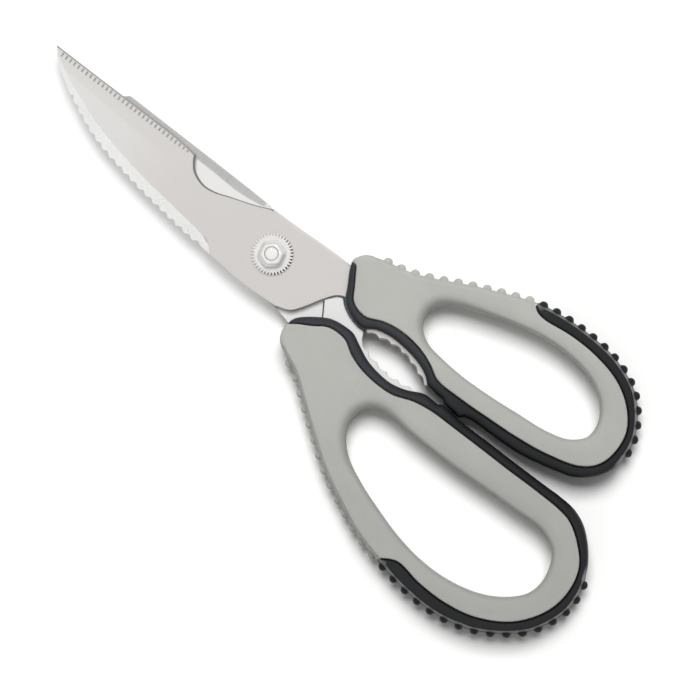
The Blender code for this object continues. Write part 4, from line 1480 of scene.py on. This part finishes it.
@dataclass
class PivotHardware:
    """The bolt, the domed nut, the toothed lock washer and the rear washer."""

    bolt_radius: float = 2.2
    head_radius: float = 5.2
    head_face: float = 3.6
    head_wall: float = 1.1
    head_break: float = 0.15
    head_steps: Row = (0.0, 0.2, 0.4, 0.6, 0.8, 1.0)
    tip_steps: Points = ((0.0, 0.45), (0.1, 0.28), (0.3, 0.14), (0.7, 0.05), (1.4, 0.0))
    slot_width: float = 1.0
    slot_depth: float = 0.9
    slot_reach: float = 2.4
    slot_turn: float = math.radians(35)
    nut_flats: float = 8.2
    nut_turn: float = math.radians(18)
    nut_rounds: tuple[tuple[bool, float, int], ...] = ((True, 1.1, 5), (False, 1.75, 9))
    bore_play: float = 0.07
    bore_mouth: float = 0.3
    mouth_reach: Span = (-0.05, 0.25)
    drill_over: float = 1.0
    lock_radius: float = 6.8
    lock_tooth: float = 1.1
    lock_teeth: int = 38
    lock_steps: int = 8
    lock_twist: float = 0.28
    lock_wave: Span = (1.7, 0.45)
    lock_disc: float = 0.25
    lock_rim: float = 0.75
    washer_radius: float = 6.2
    washer_play: float = 0.3
    washer_break: float = 0.15
    turn_steps: int = 96

    def turned(self, profile: Points) -> Mesh:
        """Spin a profile about the pivot.

        Args:
            profile: radius and height of each point, in millimetres.

        Returns:
            The closed mesh.
        """
        mesh = bmesh.new()
        row = [mesh.verts.new(in_frame((radius, 0.0, height))) for radius, height in profile]
        edges = [mesh.edges.new(pair) for pair in zip(row, row[1:])]
        bmesh.ops.spin(mesh, geom=[*row, *edges], cent=(PIVOT.x, PIVOT.y, 0.0),
                       axis=(0.0, 0.0, 1.0), angle=math.tau, steps=self.turn_steps, use_merge=True)
        bmesh.ops.remove_doubles(mesh, verts=mesh.verts, dist=WELD)
        bmesh.ops.recalc_face_normals(mesh, faces=mesh.faces)
        return mesh

    def washer(self) -> None:
        """Make the plain washer: a flat ring with broken edges."""
        low, high = node_heights("rear_washer")
        inner, outer = self.bolt_radius + self.washer_play, self.washer_radius
        r = self.washer_break
        mesh = self.turned([(inner, low + r), (inner + r, low), (outer - r, low), (outer, low + r),
                            (outer, high - r), (outer - r, high), (inner + r, high),
                            (inner, high - r), (inner, low + r)])
        piece(mesh, "plain_washer", [Finish.POLISHED], Body.THUMB, Slot.BRIGHT, "rear_washer")

    def bolt(self) -> None:
        """Make the bolt, with its slotted head below and its rounded tip in the nut."""
        low, high = node_heights("pivot_bolt")
        under = node_heights("rear_washer")[0] - LEVELS.clearance
        r, r_break = self.bolt_radius, self.head_break
        arc = [(self.head_face + (self.head_radius - self.head_face) * math.sin(turn),
                low + (under - self.head_wall - low) * (1 - math.cos(turn)))
               for turn in (math.pi / 2 * t for t in self.head_steps)]
        tip = [(r - inward, high - down) for inward, down in self.tip_steps]
        mesh = self.turned([(0.0, low), *arc, (self.head_radius, under - r_break),
                            (self.head_radius - r_break, under), (r, under), *tip, (0.0, high)])
        slot = bmesh.new()
        bmesh.ops.create_cube(slot, size=1.0)
        size = Vector((self.head_radius * self.slot_reach, self.slot_width,
                       self.slot_depth * 2)) * MM
        bmesh.ops.scale(slot, vec=size, verts=slot.verts)
        bmesh.ops.rotate(slot, cent=(0, 0, 0), verts=slot.verts,
                         matrix=Matrix.Rotation(self.slot_turn, 3, "Z"))
        bmesh.ops.translate(slot, vec=in_frame((0.0, 0.0, low)), verts=slot.verts)
        mesh = combined(mesh, [Finish.POLISHED], ("DIFFERENCE", slot))
        piece(mesh, "bolt_with_slotted_head", [Finish.POLISHED], Body.THUMB, Slot.BRIGHT,
              "pivot_bolt")

    def nut(self) -> None:
        """Make the nut: a hexagon with soft corners under a domed crown."""
        low, high = node_heights("pivot_nut")
        corner = self.nut_flats / math.sqrt(3) * MM
        mesh = bmesh.new()
        bmesh.ops.create_cone(mesh, cap_ends=True, segments=6, radius1=corner, radius2=corner,
                              depth=(high - low) * MM)
        bmesh.ops.rotate(mesh, cent=(0, 0, 0), verts=mesh.verts,
                         matrix=Matrix.Rotation(self.nut_turn, 3, "Z"))
        for upright, offset, segments in self.nut_rounds:
            edges = [edge for edge in mesh.edges
                     if (abs(edge.verts[0].co.z - edge.verts[1].co.z) > WELD) == upright
                     and (upright or min(vertex.co.z for vertex in edge.verts) > 0)]
            bmesh.ops.bevel(mesh, geom=edges, offset=offset * MM, offset_type="OFFSET",
                            affect="EDGES", segments=segments, profile=0.5, material=-1)
        bmesh.ops.translate(mesh, vec=in_frame((0.0, 0.0, (low + high) / 2)), verts=mesh.verts)
        bore = self.bolt_radius + self.bore_play
        mouth = bore + self.bore_mouth
        start, end = (high + reach for reach in self.mouth_reach)
        below, above = low - self.drill_over, high + self.drill_over
        drill = self.turned([(0.0, below), (bore, below), (bore, start), (mouth, end),
                             (mouth, above), (0.0, above)])
        mesh = combined(mesh, [Finish.POLISHED], ("DIFFERENCE", drill))
        piece(mesh, "domed_nut", [Finish.POLISHED], Body.THUMB, Slot.BRIGHT, "pivot_nut", sharp=38)

    def lock_washer(self) -> None:
        """Make the lock washer: a disc, grey with painted shade that darkens one side, under a
        bright ring of twisted teeth.
        """
        low, high = node_heights("toothed_lock_washer")
        turns = np.arange(self.lock_teeth * self.lock_steps) * math.tau
        turns /= self.lock_teeth * self.lock_steps
        phase = (np.arange(len(turns)) % self.lock_steps) / self.lock_steps
        swing, cut = self.lock_wave
        tooth = np.clip(swing * np.sin(math.pi * phase) - cut, 0.0, 1.0)
        around = np.stack([np.cos(turns), np.sin(turns)], axis=1)
        root = self.lock_radius - self.lock_tooth
        twist = self.lock_twist * (0.5 - phase) * tooth
        disc = low + self.lock_disc * (high - low)
        rim, bore = root + self.lock_rim * self.lock_tooth, self.bolt_radius + self.washer_play
        reach = root + self.lock_tooth * tooth
        profile = ((rim, low, low), (rim, disc, low), (root - 0.1, disc + 0.01, low),
                   (reach * 0.99, disc + 0.03, low), (reach, disc + 0.15 + twist / 2, high),
                   (reach * 0.985, high - 0.18 + twist, high),
                   (root + 0.45 * self.lock_tooth * tooth, high - 0.1 + twist / 2, high),
                   (root - 0.05, high - 0.12 * (1 - tooth), high), (root - 0.3, high, high))
        rings = []
        for row in profile:
            radius, outer, inner = (np.broadcast_to(each, len(turns)) for each in row)
            rings.append(level([around * radius[:, None], around * bore],
                               np.concatenate([outer, inner])))
        mesh = Loft([around * rim, around * bore]).grow(rings)
        # faces of the disc below the teeth get the grey finish with painted shade
        for face in mesh.faces:
            face.material_index = int(max(v.co.z for v in face.verts) < (disc + 0.02) * MM)
        piece(mesh, "toothed_washer", [Finish.TOOTHED, Finish.GAP], Body.THUMB, Slot.BRIGHT,
              "toothed_lock_washer", sharp=28)

    def build(self) -> None:
        """Make the hardware."""
        self.bolt()
        self.nut()
        self.lock_washer()
        self.washer()


THUMB = Handle(
    prefix="thumb", body=Body.THUMB,
    collar=((19.6, 15.9), (21, 13.4), (24, 9.4), (26.9, 5.4), (29, 4.2), (32, 3.3), (35, 3),
            (37, 3.3), (40, 5.8), (45, 7.5), (51, 8), (57, 7.6), (61, 6.4), (63.5, 4.75)),
    pad=((63.5, 4.75), (66, 4.75), (70.3, 4.95), (71.4, 4.25), (77.6, 4.4), (78.8, 5.8)),
    back=((78.8, 5.8), (81, 6.6), (90, 7.9), (100, 9.8), (110, 13.3), (116.5, 16.3),
          (121.5, 21.5), (123.7, 29), (122, 37.4), (116.8, 44.6), (110.4, 49.3), (100, 52),
          (90, 51.9), (80, 50.4), (71, 47.8), (62, 43.2), (50, 36), (42, 30.6), (34, 26.1),
          (26, 23.2), (21.6, 20.6), (19.8, 17.6), (19.6, 15.9)),
    hole=((47.7, 21.4), (49.6, 17), (54.5, 14.3), (62, 13.9), (70, 14.4), (80, 16), (90, 18.15),
          (100, 20.45), (107, 23.6), (110.7, 28.5), (110, 33.8), (106, 38.75), (99, 41.8),
          (90, 42.5), (80, 41.1), (70, 37.75), (60, 33.05), (52, 28.4), (48.5, 24.8)),
    seam_start=((12, 16.9),),
    seam=((21.6, 15.9), (25.7, 11), (28.5, 7.6), (31, 6.5), (35, 6.45), (40, 9.2), (45, 10.8),
          (50, 11.35), (55, 11.1), (60, 9.9), (65, 8.05), (75, 9), (85, 10.7), (95, 12.6),
          (105, 15.3), (115, 19.7), (119, 24.2), (120.1, 30), (118.3, 37.5), (113, 43.2),
          (105, 47), (95, 48.1), (85, 47.2), (75.5, 45), (72.5, 45.1)),
    seam_place=(70.2, 47.4), nodule_ends=((27.7, 23.9), (123.4, 33.5)), nodule_pitch=4.65)

FINGER = Handle(
    prefix="finger", body=Body.FINGER,
    collar=((18.7, -13.2), (19.1, -10), (20.3, -7.9), (25, -3.3), (28, -1.3), (33, 0), (36, 0.1),
            (40, -1.3), (45, -2.8), (50, -3.2), (55, -2.8), (60, -0.9), (63.8, 1.6), (65.6, 2.4)),
    pad=((65.6, 2.4), (70.3, 2.8), (71.4, 3.85), (77.6, 4), (78.6, 3.95)),
    back=((78.6, 3.95), (81, 4.2), (90, 5.4), (100, 6.6), (110, 7.9), (118, 9), (123.5, 9.2),
          (129, 7.7), (135, 3.6), (139.6, -1.4), (142.8, -7), (144.2, -14.5), (143, -21.4),
          (139.9, -28.5), (133.5, -35.5), (125.5, -41.1), (115.1, -44.8), (103, -46.05),
          (91, -45.45), (80, -43.9), (70, -40.9), (60, -37.3), (50, -32.2), (40, -26.7),
          (31, -21.7), (24, -19.4), (20.2, -16.8), (18.7, -13.2)),
    hole=((53.9, -17.6), (55.4, -23), (61, -28.3), (70, -31.7), (80, -33.9), (90, -35.5),
          (100, -35.85), (110, -34.5), (120, -30.9), (127.2, -25.8), (131.8, -19.5),
          (132.1, -12.8), (128, -5.1), (121, -2.6), (110, -4.05), (100, -5.6), (90, -7.3),
          (80, -8.55), (70, -9.55), (60, -10.65), (55.4, -13.4)),
    seam_start=((12, -15.4),),
    seam=((19.3, -11.8), (21.5, -9.8), (25, -7.2), (28.5, -4.2), (31.5, -3.2), (35.5, -3.1),
          (40, -5), (45, -6.1), (51, -6.2), (58, -5), (64, -2), (70, -0.2), (80, 1.15), (90, 2.4),
          (100, 3.55), (110, 4.9), (120, 5.85), (125, 5.45), (131, 2.6), (137, -2.5), (140, -10),
          (139.7, -19), (134.5, -29), (125, -36.4), (115, -39.9), (105, -41.15), (96, -41),
          (93, -42.5)),
    seam_place=(90.9, -45.4), nodule_ends=((27.8, -20.9), (142.8, -5.6)), nodule_pitch=5.1)


@dataclass(frozen=True)
class Panel:
    """A square lamp: the way to it in the picture, its rise in degrees, its power and sizes."""

    name: str
    side: Span
    rise: float
    power: float
    size: float
    distance: float


@dataclass
class Studio:
    """The floor, the lights and the camera."""

    panels: tuple[Panel, ...] = (Panel("key", (0.12, 1.0), 69.5, 90.0, 1.25, 3.0),
                                 Panel("fill", (-0.6, -1.0), 37, 4.4, 2.3, 3.0))
    photo_angle: float = math.radians(44.5)
    photo_pixels: int = 700
    pixels_per_mm: float = 3.18
    pivot_pixel: Span = (272.6, 254.6)
    camera_distance: float = 1.1
    camera_lean: float = math.radians(3.0)
    sensor: float = 36.0
    sight: Span = (0.01, 20.0)
    floor_size: float = 6.0
    floor_colour: Colour = (0.93, 0.93, 0.925)
    floor_roughness: float = 0.9
    floor_specular: float = 0.1
    floor_glow: float = 0.01
    # painted light: the floor glows to the camera beside the blades, which makes their shadow
    # lighter
    painted_light_by_blades: float = 0.34
    painted_light_reach: Span = (0.005, -0.03)
    world_colour: Colour = (1.0, 0.995, 0.985)
    world_rise: Span = (0.3, 0.95)
    world_light: Span = (0.1, 0.3)
    world_shine: Span = (0.42, 0.87)

    def drawn(self, x: float, y: float) -> Vector:
        """Turn a way in the picture, right and up, into a way on the floor."""
        c, s = math.cos(self.photo_angle), math.sin(self.photo_angle)
        return Vector((x * c - y * s, x * s + y * c, 0.0))

    def camera(self) -> None:
        """Place the camera over the object, as in the photograph."""
        half = self.photo_pixels / 2
        right, down = (half - place for place in self.pivot_pixel)
        aim = in_frame((0, 0, LEVELS.mid)) + self.drawn(right, -down) * MM / self.pixels_per_mm
        lens = bpy.data.cameras.new("camera")
        lens.sensor_width = self.sensor
        shown = self.photo_pixels * MM / self.pixels_per_mm
        lens.lens = self.sensor * self.camera_distance / shown
        lens.clip_start, lens.clip_end = self.sight
        item = bpy.data.objects.new("camera", lens)
        back = Vector((math.sin(self.camera_lean), 0.0, math.cos(self.camera_lean)))
        right_way = self.drawn(0.0, 1.0).cross(back).normalized()
        turn = Matrix((right_way, back.cross(right_way), back)).transposed().to_4x4()
        item.matrix_world = Matrix.Translation(aim + back * self.camera_distance) @ turn
        bpy.context.scene.collection.objects.link(item)
        bpy.context.scene.camera = item

    def floor(self) -> None:
        """Make the pale floor, with a lighter shadow beside the blades, as in the photograph."""
        mesh = bmesh.new()
        bmesh.ops.create_grid(mesh, x_segments=2, y_segments=2, size=self.floor_size / 2)
        item = placed(mesh, "floor")
        graph = Graph.of_material("pale_floor")
        graph.surface(base_color=(*self.floor_colour, 1.0), roughness=self.floor_roughness,
                      specular_ior_level=self.floor_specular)
        glow = graph.node("ShaderNodeEmission", None, {"Color": (*WHITE, 1.0), "Strength": 1.0})
        # painted light beside the blades: more glow where their shadow falls
        beside = graph.ramp(graph.part(graph.place(), "X"), *self.painted_light_reach)
        share = self.floor_glow + self.painted_light_by_blades * beside
        mixed = graph.node("ShaderNodeMixShader", None,
                           {0: graph.seen("Camera", "Glossy") * share,
                            1: Wire(graph, graph.shader.outputs[0]), 2: glow})
        graph.feed(graph.tree.nodes["Material Output"].inputs["Surface"], mixed)
        item.data.materials.append(graph.owner)

    def world(self) -> None:
        """Light the scene dimly all round, with a pale room for the camera and in metal."""
        world = bpy.data.worlds.new("studio")
        bpy.context.scene.world = world
        graph = Graph(world, "Background")
        way = graph.node("ShaderNodeTexCoord", output="Generated")
        rise = graph.ramp(graph.part(way, "Z"), *self.world_rise)
        dim, pale = (low + (high - low) * rise
                     for low, high in (self.world_light, self.world_shine))
        sight, shine = graph.seen("Camera"), graph.seen("Glossy")
        strength = sight + (1.0 - sight) * (shine * pale + (1.0 - shine) * dim)
        graph.feed(graph.shader.inputs["Strength"], strength)
        graph.feed(graph.shader.inputs["Color"], (*self.world_colour, 1.0))

    def light(self, panel: Panel) -> None:
        """Place a square lamp that looks at the object.

        Args:
            panel: the lamp.
        """
        rise = math.radians(panel.rise)
        way = self.drawn(*panel.side).normalized() * math.cos(rise)
        way.z = math.sin(rise)
        lamp = bpy.data.lights.new(panel.name, "AREA")
        lamp.energy, lamp.size = panel.power, panel.size
        item = bpy.data.objects.new(panel.name, lamp)
        item.location = way * panel.distance
        item.rotation_euler = way.to_track_quat("Z", "Y").to_euler()
        item.visible_camera = item.visible_glossy = False
        bpy.context.scene.collection.objects.link(item)

    def build(self) -> None:
        """Set up the stage."""
        bpy.context.scene.view_settings.view_transform = "Standard"
        self.camera()
        self.floor()
        self.world()
        for panel in self.panels:
            self.light(panel)


def main() -> None:
    """Build the shears and the stage."""
    logging.basicConfig(level=logging.INFO, format="%(message)s")
    for thing in (Studio(), FrontBlade(), RearBlade(), PivotHardware(), THUMB, FINGER):
        thing.build()


if __name__ == "__main__":
    main()
